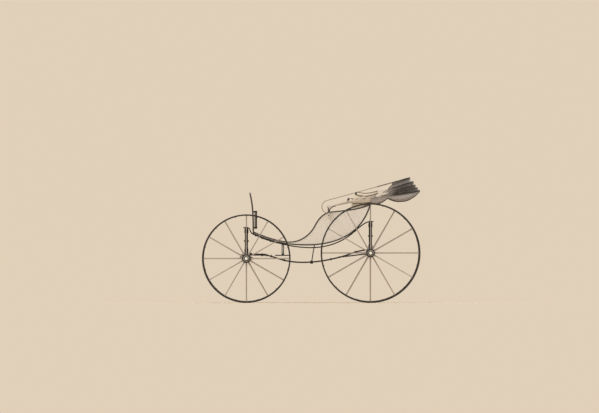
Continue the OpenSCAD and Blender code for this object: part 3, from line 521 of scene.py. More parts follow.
DRESS = {
    mat_iron: "front_axle fifth_wheel_lower shaft_couplings rear_axle fifth_wheel_upper king_bolt "
              "perch_stays front_spring_lower front_spring_upper rear_spring_lower rear_spring_upper "
              "body_loops steps",
    mat_black: "front_axle_bed rear_axle_bed head_block perch spring_bars",
    mat_strap: "check_strap",
    mat_socket: "whip_socket",
    mat_body: "floor_board back_board side_left side_right seat_riser",
    mat_wood: "seat_board",
    mat_cloth: "seat_cushion seat_back seat_roll_lower seat_roll_upper",
    mat_dash: "dash",
    mat_hide: "hood_back hood_leather_1 hood_leather_2 hood_leather_3 hood_leather_4",
    mat_bracket: "hood_brackets",
    mat_front_bow: "hood_bow_1",
    mat_bow: "hood_bow_2 hood_bow_3 hood_bow_4 hood_bow_5",
}
for w in WHEELS:
    for mat, part in ((mat_tyre, "tyre_"), (mat_black, "rim_"), (mat_spoke, "spokes_"), (mat_hub, "hub_")):
        DRESS[mat] = DRESS.get(mat, "") + " " + part + w
for mat, names in DRESS.items():
    for name in names.split():
        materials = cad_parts[name].data.materials
        materials.clear()
        materials.append(mat.m)

# Wheels

# Spoke: share of its length, half width, half thickness, squareness.
SPOKE = ((0, 8.5, 8.5, 5), (0.03, 8.5, 8.5, 5), (0.07, 6.8, 8.2, 4), (0.13, 6.0, 7.8, 3),
         (0.22, 5.7, 7.3, 2.4), (0.4, 5.4, 6.7, 2.2), (0.6, 5.1, 6.1, 2), (0.8, 4.9, 5.5, 2),
         (0.95, 4.9, 5.1, 2), (0.955, 5.8, 5.8, 2), (1, 5.8, 5.8, 2))
# Hub bands: start, end and radius, along the axle from the wheel's middle.
HUB_BANDS = ((-HUB_IN + 2, -HUB_IN + 20, HUB_END_R + 1.5), (HUB_OUT - 22, HUB_OUT - 3, HUB_END_R + 1.5),
             (-DISH - 30, -DISH - 24, 48.5), (-DISH + 24, -DISH + 30, 48))
# Hub cap and the ring round it: radius, place along the axle from the hub's outer face.
HUB_CAP = ((13, 24), (15.5, 24.5), (16.5, 26), (16, 27.4), (12, 28.6), (6, 29.2), (0.5, 29.4))
HUB_RING = ((29.5, -1), (29.5, 1.2), (32.8, 1.2), (32.8, -1))
# Plates over the joints of the rim: half size, distance beyond the rim's inside, half spread.
PLATE, PLATE_OUT, PLATE_Y = (16, 7, 0.9), 9, 13.6


def radial(angle):
    """Outward and tangent directions in the plane of a wheel."""
    c, s = math.cos(angle), math.sin(angle)
    return np.array([c, 0, s]), np.array([-s, 0, c])


def spoke(b, mid, y, r, angle):
    inner, outer = HUB_R - 3, r - TYRE_T - FELLOE_D + 1.5
    e, tangent = radial(angle)
    rings = []
    for f, a, t, p in SPOKE:
        at = mid + lerp(inner, outer, f) * e + (f - 1) * DISH * y
        rings.append([at + a * math.copysign(abs(c) ** (2 / p), c) * tangent
                      + t * math.copysign(abs(s) ** (2 / p), s) * y for c, s in circle(1, 12)])
    b.rings(rings)


for w, (x, side, r) in WHEELS.items():
    body = "wheel_" + w
    mid, y = np.array([x, side * HALF_TRACK, r]), np.array([0, side, 0.0])
    b = Build()
    for i in range(SPOKES):
        spoke(b, mid, y, r, 2 * math.pi * i / SPOKES)
    piece("spoke_set_" + w, b, mat_spoke, body, ["spokes_" + w])
    b = Build()
    for h0, h1, rad in HUB_BANDS:
        b.band(mid, y, h0, h1, rad, 6, 1, 40)
    rin = r - TYRE_T - FELLOE_D
    for i in range(SPOKES):
        e, tangent = radial(2 * math.pi * (i + 0.5) / SPOKES)
        b.nut(mid + rin * e, -e, 5.5, 3.5)
        if i % 2:
            for s in (-1, 1):
                b.box(mid + (rin + PLATE_OUT) * e + s * PLATE_Y * y, PLATE, (tangent, e, y), 0.5)
    piece("wheel_iron_" + w, b, mat_iron, body)
    # The cap and its ring are painted near-white, a painted highlight.
    b = Build()
    face = mid + HUB_OUT * y
    b.lathe(face, y, HUB_CAP, 32)
    b.rings([[face + h * y + rad * radial(a)[0] for rad, h in HUB_RING]
             for a in np.linspace(0, 2 * math.pi, 40, endpoint=False)], closed=True)
    piece("hub_cap_" + w, b, mat_cap, body)

# Springs with separate leaves
SPRING_LEN, LEAF_T, LEAVES, SPRING_W, LEAF_STEP = 900.0, 6.5, 4, 36.0, 0.19
EYE_R, BOLT_X, BOLT_Y, BAND_Y = 10.0, 20.5, 38.0, 210.0


def spring_half(name, x, z0, h, sign, node):
    """Half of an elliptic spring that rises from z0 where sign is 1 and hangs from it where it is -1."""
    sag = h / 2 - (LEAVES - 0.5) * LEAF_T
    radius = (SPRING_LEN**2 / 4 + sag**2) / (2 * sag)
    full = math.asin(SPRING_LEN / 2 / radius)
    b = Build()

    def at(rad, a):
        z = radius + (LEAVES - 0.5) * LEAF_T - rad * math.cos(a)
        return np.array([x, rad * math.sin(a), z0 + sign * z])

    for i in range(LEAVES):
        end = full * (1 - LEAF_STEP * i)
        path = [at(radius + i * LEAF_T, a) for a in np.linspace(-end, end, 49)]
        scale = np.ones(49)
        if i:
            scale[[0, -1]], scale[[1, -2]] = 0.55, 0.85
        b.sweep(path, rounded(SPRING_W / 2, LEAF_T / 2 - 0.35, 1.2), (1, 0, 0), False, scale)
    depth = LEAVES * LEAF_T + 5
    for side in (-1, 1):
        eye = np.array([x, side * SPRING_LEN / 2, z0 + sign * h / 2])
        for s0, s1 in ((-6, 6),) if sign > 0 else ((-18, -6.5), (6.5, 18)):
            b.band(eye, (1, 0, 0), s0, s1, EYE_R, 3, 0.6, 24)
        for s in (-1, 1) if sign > 0 else ():
            b.lathe(eye, (s, 0, 0), [(5, 0), (5, 18.4)], 12)
            b.nut(eye + [s * 18.6, 0, 0], (s, 0, 0), 9, 7)
        for s in (-1, 1):
            b.box((x + s * BOLT_X, side * BOLT_Y, z0 + sign * depth / 2), (2.5, 7, depth / 2), bevel=1)
            b.nut((x + s * BOLT_X, side * BOLT_Y, z0 + sign * depth), (0, 0, sign), 6, 5)
        b.box((x, side * BOLT_Y, z0 + sign * (depth - 3)), (24, 7, 3), bevel=1)
        b.box((x, side * BAND_Y, at(radius + LEAF_T, BAND_Y / radius)[2]), (20, 6, 9), bevel=1.5)
    piece(name, b, mat_iron, replaces=[node])


for end, x, low, high in (("front", XF, HEAD_TOP, FRONT_BAR), ("rear", XR, REAR_BED_TOP, REAR_BAR)):
    spring_half("leaves_%s_lower" % end, x, low, high - low, 1, end + "_spring_lower")
    spring_half("leaves_%s_upper" % end, x, high, high - low, -1, end + "_spring_upper")

# Body mouldings and dash
for side, tag in ((1, "left"), (-1, "right")):
    b = Build()
    # Each moulding has its line, offset and radius, and grows thinner towards the dash.
    for line, out, r in ((top_line, 5.5, 7.0), (low_line, -5.0, 8.2)):
        run = [(x, side * half_w(z), z) for x, z in offset(line, out)]
        b.sweep(run, circle(r, 12), scale=[lerp(1, 0.78, smooth((x - 60) / 330)) for x, _, _ in run])
    b.tube([(x, side * half_w(z), z) for x, z in (foot + [-5, 4], foot + [-6, 12], foot + [-8, 22])], 6.0, 12)
    piece("body_moulding_" + tag, b, mat_black)

dash_x = np.array(sorted((p[1], p[0]) for p in dash_line)).T


def dash_at(y, z, off=0.0):
    """A point on the dash, off millimetres ahead of its middle."""
    below, x, above = np.interp([z - 5, z, z + 5], *dash_x)
    slope = (above - below) / 10
    return np.array([x, y, z]) + off * np.array([1, 0, -slope]) / math.hypot(1, slope)


def dash_edge(inset, z0, step):
    """Points round the sides and the top of the dash, inset from its edge."""
    w, top, rc = DASH_HALF - inset, foot[1] + DASH_H - inset, max(DASH_CORNER - inset, 8)
    half = [(-w, z) for z in np.arange(z0, top - rc, step)]
    turns = np.linspace(0, math.pi / 2, max(3, int(rc * 1.57 / step)) + 1)
    half += [(-w + rc - rc * math.cos(a), top - rc + rc * math.sin(a)) for a in turns]
    across = [(y, top) for y in np.arange(-w + rc, w - rc, step)[1:]]
    return half + across + [(-y, z) for y, z in half[::-1]]


BEAD_R, BEAD_IN, STITCH_IN, STITCH = 8.0, 3, 21, 9
b = Build()
b.tube([dash_at(y, z) for y, z in dash_edge(BEAD_IN, foot[1] + 30, 14)], BEAD_R, 12, up=(1, 0, 0))
piece("dash_binding", b, mat_dash)
b = Build()
for face in (1, -1):
    pts = [dash_at(y, z, face * DASH_FACE) for y, z in dash_edge(STITCH_IN, foot[1] + 60, STITCH)]
    for p, q in zip(pts, pts[1:]):
        d, lift = q - p, np.array([face * 0.7, 0, 0])
        b.tube([p + 0.15 * d, p + 0.5 * d + lift, p + 0.8 * d], 0.8, 5, up=(1, 0, 0.3))
piece("dash_stitching", b, mat_stitch)

# Seat
GATHER, WELT_R, WELT_AT = 118.0, 5.2, math.radians(60)


def roll(name, path, r, node):
    """Stuffed roll, drawn in at intervals and pleated at its ends, with two welts and leather end caps."""
    p = np.asarray(path, float)
    seg = np.r_[0, np.cumsum(np.linalg.norm(np.diff(p, axis=0), axis=1))]
    total = seg[-1]
    at = np.linspace(0, total, 220)
    p = np.stack([np.interp(at, seg, p[:, k]) for k in range(3)], 1)
    t = unit(np.gradient(p, axis=0))
    u = unit(np.cross(t, [0, 0, 1]))
    v = np.cross(u, t)
    rings, n = [], 28
    for i, s in enumerate(at):
        e = min(s, total - s)
        end = math.sqrt(max(0.0, 1 - max(0.0, 1 - e / (r * 0.7)) ** 2))
        wave = 1 - 0.045 * (0.5 + 0.5 * math.cos(2 * math.pi * s / GATHER)) ** 6
        ring = []
        for k in range(n):
            a = 2 * math.pi * k / n
            pleat = 0.05 * math.exp(-e / (1.5 * r)) * math.cos(9 * a)
            ring.append(p[i] + r * (0.35 + 0.65 * end) * (wave + pleat)
                        * (math.cos(a) * u[i] + math.sin(a) * v[i]))
        rings.append(ring)
    b = Build()
    b.rings(rings)
    o = piece(name, b, mat_roll, replaces=[node], angle=60)
    welts, mid = Build(), slice(5, -5)
    for a in (WELT_AT, -WELT_AT):
        on_top = p[mid] + (r + 0.6) * (math.cos(a) * u[mid] + math.sin(a) * v[mid])
        welts.tube(on_top, WELT_R, 8, up=(0.1, 0.1, 1))
    piece(name + "_welts", welts, mat_dash)
    ends = Build()
    for q, d in ((p[0], -t[0]), (p[-1], t[-1])):
        ends.lathe(q, d, [(r * 0.9, -19), (r * 1.03, -18), (r * 1.05, -10), (r * 1.03, -3), (r * 0.94, 1.0),
                          (r * 0.6, 2.6), (r * 0.3, 2.2), (1, 1.6)], 28)
        ends.lathe(q, d, [(r * 0.24, 1), (r * 0.24, 4), (r * 0.15, 5.6), (0.5, 6.0)], 14)
    piece(name + "_ends", ends, mat_dash)


ROLL_R, ROLL_OFF, ROLL_F, TOP_R = 27.0, 27.6, 0.58, 19.0
fine = stations(48)
lower = [back_off(q, s, ROLL_F + 0.06 * min(1, (1 - q) / (1 - Q_BACK)), ROLL_OFF) for q, s in fine]
ends = [[back_off(1, s, ROLL_F, ROLL_OFF) + np.array([k, 0, z]) for k, z in ((64, 13.5), (34, 5))]
        for s in (1, -1)]
roll("roll_lower", ends[0] + lower + ends[1][::-1], ROLL_R, "seat_roll_lower")
upper = [back_top(q, s) + np.array([0, 0, TOP_R + 0.6]) - BACK_T / 2 * plan_normal(q, s) for q, s in fine]
roll("roll_upper", upper, TOP_R, "seat_roll_upper")


def stuffing(f, run, end, least, more):
    """Thickness of a pad at a share f of its height, sewn into channels at whole values of run."""
    return (1 - abs(2 * f - 1) ** 3) * end * (least + more * abs(math.sin(math.pi * run)) ** 0.55)


# Padded back, sewn in upright channels on its inner face.
b, rings = Build(), []
cols = stations(150)
for i, (q, s) in enumerate(cols):
    a, t, n = back_low(q, s), back_top(q, s), plan_normal(q, s)
    run = i / (len(cols) - 1)
    end = min(1, 12 * min(run, 1 - run) + 0.15)
    rings.append([a, lerp(a, t, 0.5), t]
                 + [lerp(a, t, f) - n * (BACK_T - 4 + stuffing(f, run * 26, end, 9, 15))
                    for f in np.linspace(1, 0, 12)])
b.rings(rings)
o = piece("seat_back_padding", b, mat_cloth, replaces=["seat_back"], angle=75)

SEAT_FRONT, SEAT_REAR, SEAT_Z = rail_x0 + 46, XR + 46, rail_start[1] - 70


def board_x(z, gap):
    """Place along the length of the back board's inner face at a height, gap millimetres clear of it."""
    line = np.array([p for p in offset(low_line, -(FLOOR_T + gap)) if p[0] < -300])
    return np.interp(z, line[:, 1], line[:, 0])


# Padding between the cushion and the seat back, in the same channels.
SQUAB_LOW, SQUAB_TOP, SQUAB_IN = SEAT_Z + 52, 1130, 22
zs = np.linspace(SQUAB_LOW, SQUAB_TOP, 12)
face = np.stack([board_x(zs, 0.6), zs], 1)
into = unit(np.gradient(face, axis=0))[:, ::-1] * [1, -1]
b, rings = Build(), []
for g in np.linspace(-1, 1, 181):
    end = min(1, 14 * (1 - abs(g)) + 0.2)
    outer, inner = [], []
    for f, p, d in zip(np.linspace(0, 1, 12), face, into):
        q = p + (3 + stuffing(f, g * 6.5 + 0.5, end, 6, 12)) * d
        y = g * (half_w(p[1]) - SQUAB_IN)
        outer.append((p[0], y, p[1]))
        inner.append((q[0], y, q[1]))
    rings.append(outer + inner[::-1])
b.rings(rings)
o = piece("seat_squab", b, mat_cloth, angle=75)

CUSHION_W, CUSHION_IN, CUSHION_GAP = half_w(SEAT_Z) - 21, 9.0, 3
CUSHION_Z0, CUSHION_Z1 = SEAT_Z + 1, SEAT_Z + 54
# Buttons: share of the cushion's depth, place across it. The middle row is set between the others.
BUTTONS = [(share, (k - 0.5 * odd) * CUSHION_W * 0.29)
           for share, odd in ((0.2, 0), (0.5, 1), (0.8, 0)) for k in range(-3 + odd, 4)]
b, rings = Build(), []
for f in np.linspace(0, 1, 42):
    ring = []
    for z, turn in ((CUSHION_Z1, 1), (CUSHION_Z0, -1)):
        rear = max(SEAT_REAR, board_x(z, CUSHION_GAP)) + CUSHION_IN
        # The sides pull in between the corners.
        wide = (CUSHION_W - CUSHION_IN) * (1 - 0.012 * math.sin(math.pi * f))
        ring += [(lerp(rear, SEAT_FRONT - CUSHION_IN, f), turn * g * wide, z) for g in np.linspace(-1, 1, 78)]
    rings.append(ring)
b.rings(rings)
seat = piece("cushion", b, mat_cloth, None, ["seat_cushion"], 60)


CLOTH = {"quality": 4, "mass": 0.3, "tension_stiffness": 12, "compression_stiffness": 12,
         "bending_stiffness": 2, "vertex_group_mass": "pins", "use_pressure": True}


def inflate(o, voxel, pressure, cap):
    """Swells a closed mesh with cloth pressure, each point moving by cap at most."""
    bpy.context.view_layer.objects.active = o
    o.select_set(True)
    mod = o.modifiers.new("even", "REMESH")
    mod.mode, mod.voxel_size = "VOXEL", voxel
    bpy.ops.object.modifier_apply(modifier=mod.name)
    rest = np.array([v.co for v in o.data.vertices])
    pins = o.vertex_groups.new(name="pins")
    low = rest[:, 2].min()
    for i, c in enumerate(rest):
        if c[2] < low + 0.004:
            pins.add([i], 1.0, "REPLACE")
    c = o.modifiers.new("swell", "CLOTH")
    for setting, value in CLOTH.items():
        setattr(c.settings, setting, value)
    c.settings.uniform_pressure_force = pressure
    c.settings.effector_weights.gravity = 0
    c.collision_settings.use_collision = False
    for f in range(1, 21):
        scene.frame_set(f)
    e = o.evaluated_get(bpy.context.evaluated_depsgraph_get())
    now = np.array([v.co for v in e.data.vertices])
    o.modifiers.remove(c)
    scene.frame_set(1)
    d = now - rest
    size = np.maximum(np.linalg.norm(d, axis=1), 1e-9)
    return rest, d * np.minimum(1, cap / size)[:, None]


rest, move = inflate(seat, voxel=0.0065, pressure=4.0, cap=0.016)
seat.data.polygons.foreach_set("use_smooth", [True] * len(seat.data.polygons))
co = rest + move
lo_c, hi_c = rest.min(0), rest.max(0)
mid_z = (lo_c[2] + hi_c[2]) / 2


def hollow(d2, depth, width):
    return depth * np.exp(-d2 / (2 * width**2))


# Buttons draw the top in, and a pleat runs from each one to those near it in the row ahead.
dip = np.zeros(len(co))
places = [(lerp(lo_c[0], hi_c[0], share), y * MM) for share, y in BUTTONS]
for bx, by in places:
    dx, dy = co[:, 0] - bx, co[:, 1] - by
    dip += hollow(dx**2 + dy**2, depth=0.012, width=0.020)
    for cx, cy in places:
        ax, ay = cx - bx, cy - by
        if 0.05 < math.hypot(ax, ay) < 0.25 and ax > 0:
            t = np.clip((dx * ax + dy * ay) / (ax * ax + ay * ay), 0, 1)
            dip += hollow((dx - t * ax) ** 2 + (dy - t * ay) ** 2, depth=0.0035, width=0.007)
co[:, 2] -= np.where(co[:, 2] > mid_z, np.minimum(dip, 0.017), 0)
co[:, 2] = np.maximum(co[:, 2], SEAT_Z * MM + 0.0005)
seat.data.vertices.foreach_set("co", co.astype(np.float32).ravel())
seat.data.update()
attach(seat, "carriage")
b = Build()
for bx, by in places:
    near = np.argmin((co[:, 0] - bx) ** 2 + (co[:, 1] - by) ** 2 - 1e-3 * (co[:, 2] > mid_z))
    b.lathe((bx / MM, by / MM, co[near, 2] / MM - 1), UP,
            [(4, -2), (9, 0), (9.5, 1.5), (8, 3.6), (4.5, 5), (0.5, 5.3)], 14)
piece("cushion_buttons", b, mat_cloth)
b = Build()
front, wy = hi_c[0] / MM - 1, hi_c[1] / MM - 1
for z, bulge in ((SEAT_Z + 50, 5.0), (SEAT_Z + 6, 1.0)):
    rear = max(lo_c[0] / MM + 1, board_x(z, CUSHION_GAP) + 6)
    loop = [(rear, -wy), (rear, wy), (front, wy), (front, -wy)]
    pts = []
    for i, ((ax, ay), (bx, by)) in enumerate(zip(loop, loop[1:] + loop[:1])):
        for f in np.linspace(0.03, 0.97, 30):
            # Only the front edge bows out.
            bow = bulge * math.sin(math.pi * f) if i == 2 else 0.0
            pts.append((lerp(ax, bx, f) + bow, lerp(ay, by, f), z))
    b.tube(pts, 4.2, 8, up=UP, closed=True)
piece("cushion_piping", b, mat_roll)

# Carpet on the floor.
CARPET_W, CARPET_T, CARPET_X = 650.0, 3.0, (-150, 585)
line = np.array([p for p in offset(low_line, -(FLOOR_T + 1)) if CARPET_X[0] < p[0] < CARPET_X[1]])
across = np.linspace(-CARPET_W / 2, CARPET_W / 2, 31)
b = Build()
b.shell([[(x, y, z + CARPET_T) for y in across] for x, z in line], CARPET_T)
o = piece("floor_carpet", b, mat_carpet)

# Hood

# Bows from front to rear: radius of the top, angle as folded, offset of the iron, inner end of the leather.
TIP = [989.0, 1012.0, 1023.0, 1041.0, 1061.0]
LAY = [15.3, 16.5, 14.0, 12.0, 10.0]
OFF = [75.0, 0.0, 0.0, 0.0, 0.0]
INNER = [790.0, 720.0, 697.0, 621.0, 494.0]
CORNER, HIDE_T, HEM_R = 130.0, 2.6, 4.0
OUT_Y = [500.15 + 7 + (4 - i) * 8 for i in range(5)]
FOLD = (30.0, 26.0, 24.0, 24.0)
# Lower edge of the leather between the bows: share of the way to the next bow, radius.
SCALLOP = [
    [(0.26, 782), (0.64, 752), (0.89, 728)],
    [(0.13, 698), (0.36, 667), (0.64, 650), (0.82, 650)],
    [(0.13, 718), (0.36, 724), (0.56, 705), (0.8, 666)],
    [(0.1, 608), (0.71, 522)],
]


def direction(a):
    a = math.radians(a)
    return np.array([-math.cos(a), 0, math.sin(a)])


def upward(a):
    return direction(a + 90)


def theta(i, rho):
    """Angle of bow i above the rearward line at a distance from the pivot, degrees."""
    return LAY[i] + math.degrees(math.asin(OFF[i] / rho))


def u_profile(w, tip, inner, legs=16, arc=8, cross=12):
    """Half width, radius, outward normal and share of the leg round a bow, from one free end to the other."""
    half = [(w, lerp(inner, tip - CORNER, k / legs), 1.0, 0.0, k / legs) for k in range(legs)]
    for k in range(arc + 1):
        a = math.pi / 2 * k / arc
        half.append((w - CORNER + CORNER * math.cos(a), tip - CORNER + CORNER * math.sin(a),
                     math.cos(a), math.sin(a), 1.0))
    half += [((w - CORNER) * (1 - k / cross), tip, 0.0, 1.0, 1.0) for k in range(1, cross + 1)]
    return half + [(-y, r, -ny, nr, e) for y, r, ny, nr, e in half[-2::-1]]


def hood_point(y, rho, angle):
    return PIVOT + rho * direction(angle) + [0, y, 0]


for i in range(4):
    j = i + 1
    up_j = upward(LAY[j])
    turn = math.radians(LAY[i] - LAY[j])
    span = min(OFF[i] * math.cos(turn) + r * math.sin(turn) for r in (INNER[i], TIP[i]))
    grid, back, hem = [], [], {1: [], -1: []}
    for u in np.linspace(0, 1, 17):
        inner = np.interp(smooth(u), *zip((0, INNER[i]), *SCALLOP[i], (1, INNER[j])))
        row, lining = [], []
        prof = u_profile(lerp(OUT_Y[i], OUT_Y[j], u) + 2.5, lerp(TIP[i], TIP[j], u) + 3, inner)
        for k, (y, rho, ny, nr, e) in enumerate(prof):
            ang = lerp(theta(i, rho), theta(j, rho), u)
            # Share of the way from the one bow to the next. The fold is deepest halfway.
            w = smooth(float(rho * direction(ang) @ up_j) / span)
            fold = FOLD[i] * math.sin(math.pi * w) ** 0.9 * (0.25 + 0.3 * smooth(e * 1.6)) * (1 - 0.1 * nr)
            crease = 2.0 * math.sin(k * 1.1 + 3 * i) * math.sin(math.pi * w)
            for layer, d in ((row, fold + crease), (lining, fold + crease + HIDE_T)):
                layer.append(hood_point(y - ny * d, rho - nr * d, ang))
            if k in (0, len(prof) - 1):
                mid = y - ny * (fold + crease + HIDE_T / 2)
                hem[ny].append([hood_point(mid + c, rho + d, ang) for c, d in circle(HEM_R, 8)])
        grid.append(row)
        back.append(lining)
    # Front and lining lie square to the bows' turning.
    b = Build()
    b.shell(grid[::-1], back=back[::-1])
    o = piece("hood_panel_%d" % j, b, mat_fold, None, ["hood_leather_%d" % j], 70)
    b = Build()
    for rings in hem.values():
        b.rings(rings)
    edge = piece("hood_hem_%d" % j, b, mat_edge, None)
    for soft in (o, edge):
        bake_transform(soft)

BINDING = [(9.5 * c, 6.5 * d) for c, d in circle(1, 14)]
for i in range(5):
    b = Build()
    prof = u_profile(OUT_Y[i] + 3.0, TIP[i] + 2.5, INNER[i] - 6, 20, 10, 14)
    path = [hood_point(y, rho, theta(i, rho)) for y, rho, *_ in prof]
    b.sweep(path, BINDING, up=upward(LAY[i]),
            scale=[lerp(0.42, 1, smooth((rho - INNER[i]) / (TIP[i] - 40 - INNER[i]))) for _, rho, *_ in prof])
    piece("bow_binding_%d" % (i + 1), b, mat_edge, "bow_%d" % (i + 1))

# Leather that hangs behind the seat and the quarters that join it to the last bow.
HANG = [(-690, 1143), (-703, 1141), (-749, 1139), (-783, 1144), (-818, 1159), (-850, 1182), (-872, 1203),
        (-888, 1203), (-912, 1186), (-956, 1169), (-1013, 1161), (-1071, 1166), (-1128, 1186), (-1174, 1215),
        (-1220, 1256), (-1240, 1277)]
CURTAIN_X0, CURTAIN_X1, QUARTER = -700.0, -1240.0, 16.0
CURTAIN_FLAT, QUARTER_FLAT, SQUARE, PIPED = 1.004, 0.54, 0.36, (19, 41)


def bow_line(x):
    """Underside of the last bow's legs at a place along the length."""
    return PIVOT[2] + (PIVOT[0] - x) * math.tan(math.radians(LAY[4])) - 8


def curtain_w(x):
    """Half width of the hanging leather, which follows the last bow's corners."""
    over = (PIVOT[0] - x) / math.cos(math.radians(LAY[4])) - (TIP[4] - CORNER)
    return OUT_Y[4] - 5 - CORNER + math.sqrt(CORNER**2 - min(max(over, 0), CORNER - 1) ** 2)


def quarter_h(x):
    return QUARTER * (1 - min(1, max(0, (CURTAIN_X0 - x) / (CURTAIN_X0 - CURTAIN_X1))))


def curtain_blend(o):
    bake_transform(o)


hx, hz = np.array(HANG[::-1], float).T
grid = []
for x in np.linspace(HANG[0][0], HANG[-1][0], 64):
    top, width = bow_line(x) - quarter_h(x), curtain_w(x)
    drop = max(top - np.interp(x, hx, hz), 3)
    row = []
    for phi in np.radians(np.linspace(-90, 90, 61)):
        s, c = math.sin(phi), abs(math.cos(phi))
        y = width * math.copysign(abs(s) ** SQUARE, s)
        ripple = 1.8 * math.sin(y / 46 + x / 70) * c + 1.2 * math.sin(x / 17) * c**0.5
        row.append((x, y, top - drop * c**SQUARE + ripple))
    grid.append(row)
b = Build()
b.shell(grid, HIDE_T)
o = piece("hood_curtain", b, mat_belly, None, ["hood_back"], 70)
curtain_blend(o)
b = Build()
for j in PIPED:
    # The piping stands out further behind the seat's edge.
    b.tube([np.array(row[j]) - [0, 0, 3.5 * smooth((HANG[0][0] - row[j][0]) / 60)] for row in grid], 7.0)
o = piece("hood_curtain_piping", b, mat_hide, None)
curtain_blend(o)

QUARTER_X, QUARTER_OUT, QUARTER_IN, QUARTER_END = (-694, -1232), 3.2, 1.0, -900.0


def quarter(side, d):
    """Grid of a quarter, d millimetres outside the curtain's edge."""
    return [[(x, side * (curtain_w(x) + d), bow_line(x) - quarter_h(x) * k / 12) for k in range(13)]
            for x in np.linspace(*QUARTER_X, 56)]


for side, tag in ((1, "left"), (-1, "right")):
    b = Build()
    outside = quarter(side, QUARTER_OUT)
    b.shell(outside, back=quarter(side, QUARTER_IN))
    o = piece("hood_quarter_" + tag, b, mat_belly, None, angle=70)
    b = Build()
    b.rings([[(x + c, y - side * 1.1 + d, z) for c, d in circle(HEM_R, 8)] for x, y, z in outside[0]])
    edge = piece("hood_quarter_hem_" + tag, b, mat_edge, None)
    end, up_5 = np.array([QUARTER_END, 0, bow_line(QUARTER_END)]), upward(LAY[4])
    for soft in (o, edge):
        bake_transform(soft)

# Fittings
CLIP_HALF, CLIP_T, BED_HALF, FRONT_BED_H, REAR_BED_H = 7.0, 2.5, 520.0, 18, 35
# Clips along the perch: place, 1 where the clip is a big one.
PERCH_CLIPS = ((573.7, 1), (504.7, 0), (458.7, 0), (309.2, 0), (-231.4, 0), (-507.4, 0))
LOOP_BOLTS, STEP_BOLTS, STEP_LINE_Z = (640, 560, 470, -455, -500), (575, 650), 612


def clip(b, x, y, axle_z, bed_h):
    """Square clip round an axle and the bed on it, which grows lower towards its ends."""
    hx, t, wide = AXLE_HALF, CLIP_T, CLIP_HALF
    z0 = axle_z - AXLE_HALF
    z1 = axle_z + AXLE_HALF + bed_h * np.interp(abs(y) / BED_HALF, [0, 0.42, 0.8, 1], [1, 1, 0.7, 0.45])
    for s in (-1, 1):
        b.box((x + s * (hx + t / 2), y, (z0 + z1) / 2), (t / 2, wide, (z1 - z0) / 2 + t), bevel=0.8)
        b.nut((x + s * (hx + t / 2 - 1), y, z0 - t - 3), (0, 0, -1), 6, 6)
    b.box((x, y, z1 + t / 2), (hx + t, wide, t / 2), bevel=0.8)
    b.box((x, y, z0 - t / 2 - 1), (hx + 8, wide + 2, t / 2 + 1), bevel=1)


b = Build()
for y in (-320, -190, 190, 320):
    clip(b, XF, y, FRONT_R, FRONT_BED_H)
piece("front_axle_clips", b, mat_iron, "fore_carriage")
b = Build()
for y in (-400, -120, 120, 400):
    clip(b, XR, y, REAR_R, REAR_BED_H)
for px, big in PERCH_CLIPS:
    k = int(np.argmin(abs(perch_line[:, 0] - px)))
    t = unit(perch_line[max(k - 1, 0)] - perch_line[k + 1])
    ax = np.array([[t[0], 0, t[1]], [0, 1, 0], [-t[1], 0, t[0]]])
    c = np.array([perch_line[k][0], 0, perch_line[k][1]])
    for s in (-1, 1):
        b.box(c + s * 18.2 * ax[1], (6 + 2 * big, 1.6, 13), ax, 0.7)
        b.box(c + s * 11.6 * ax[2], (6 + 2 * big, 19.8, 1.8), ax, 0.7)
        b.nut(c + s * 9 * ax[1] + 13 * ax[2], ax[2], 5 + big, 4 + 4 * big)
piece("gear_clips", b, mat_iron)

# Bolts of the spring bars, of the body loops, of the steps and of the hood brackets.
b = Build()
for x, z in ((XF, ZF + LOOP_T / 2), (XR, ZR + LOOP_T / 2)):
    for side in (-1, 1):
        for dx in (-11, 11):
            b.nut((x + dx, side * LOOP_Y, z - 0.5), UP, 7, 5)
        for y in (-44, 44):
            b.nut((x, y, z - LOOP_T), UP, 7, 5)
under = offset(low_line, LOOP_T + 0.3)
tan = unit(np.gradient(under, axis=0))
for x in LOOP_BOLTS:
    k = int(np.argmin(abs(under[:, 0] - x)))
    n = (-tan[k][1], 0, tan[k][0])
    for side in (-1, 1):
        b.nut((under[k][0], side * LOOP_Y, under[k][1]), n, 7, 5)
for side in (-1, 1):
    for dx in (-8, 8):
        for z in STEP_BOLTS:
            b.nut((STEP_X + dx, side * STEP_ARM_Y, z), (0, side, 0), 5, 4)
    for dz in (-100, -70):
        b.nut(PIVOT + [0, side * 500.3, dz], (0, side, 0), 6, 4)
piece("body_bolts", b, mat_iron)

b = Build()
y0, y1 = FLOOR_HALF + 6, FLOOR_HALF + 118
for side in (-1, 1):
    rim = [(STEP_X + sx * STEP_HALF, y) for sx, y in ((-1, y0 + 3), (1, y0 + 3), (1, y1 - 3), (-1, y1 - 3))]
    pts = []
    for (ax, ay), (bx, by) in zip(rim, rim[1:] + rim[:1]):
        pts += [(lerp(ax, bx, f), side * lerp(ay, by, f), STEP_Z - 3.5) for f in np.linspace(0.04, 0.96, 12)]
    b.tube(pts, 5.2, 10, up=UP, closed=True)
    for x in np.linspace(STEP_X - 68, STEP_X + 68, 9):
        wave = [(x + 6 * math.sin(f * 12), side * lerp(y0 + 12, y1 - 12, f), STEP_Z)
                for f in np.linspace(0, 1, 16)]
        b.tube(wave, 1.7, 6, up=UP)
piece("step_treads", b, mat_iron)
b = Build()
for side in (-1, 1):
    b.box((STEP_X, side * (STEP_ARM_Y + 0.4), STEP_LINE_Z), (3.6, 0.7, 50), bevel=0.4)
piece("step_lining", b, mat_body)

b = Build()
for side in (-1, 1):
    b.lathe(PIVOT + [0, side * (OUT_Y[0] + 5.5), 0], (0, side, 0),
            [(15, 0), (15.5, 1), (15.5, 4), (13, 5), (11, 6.5), (9.5, 11), (6, 14), (0.5, 15)], 24)
piece("hood_pivot_caps", b, mat_bow)

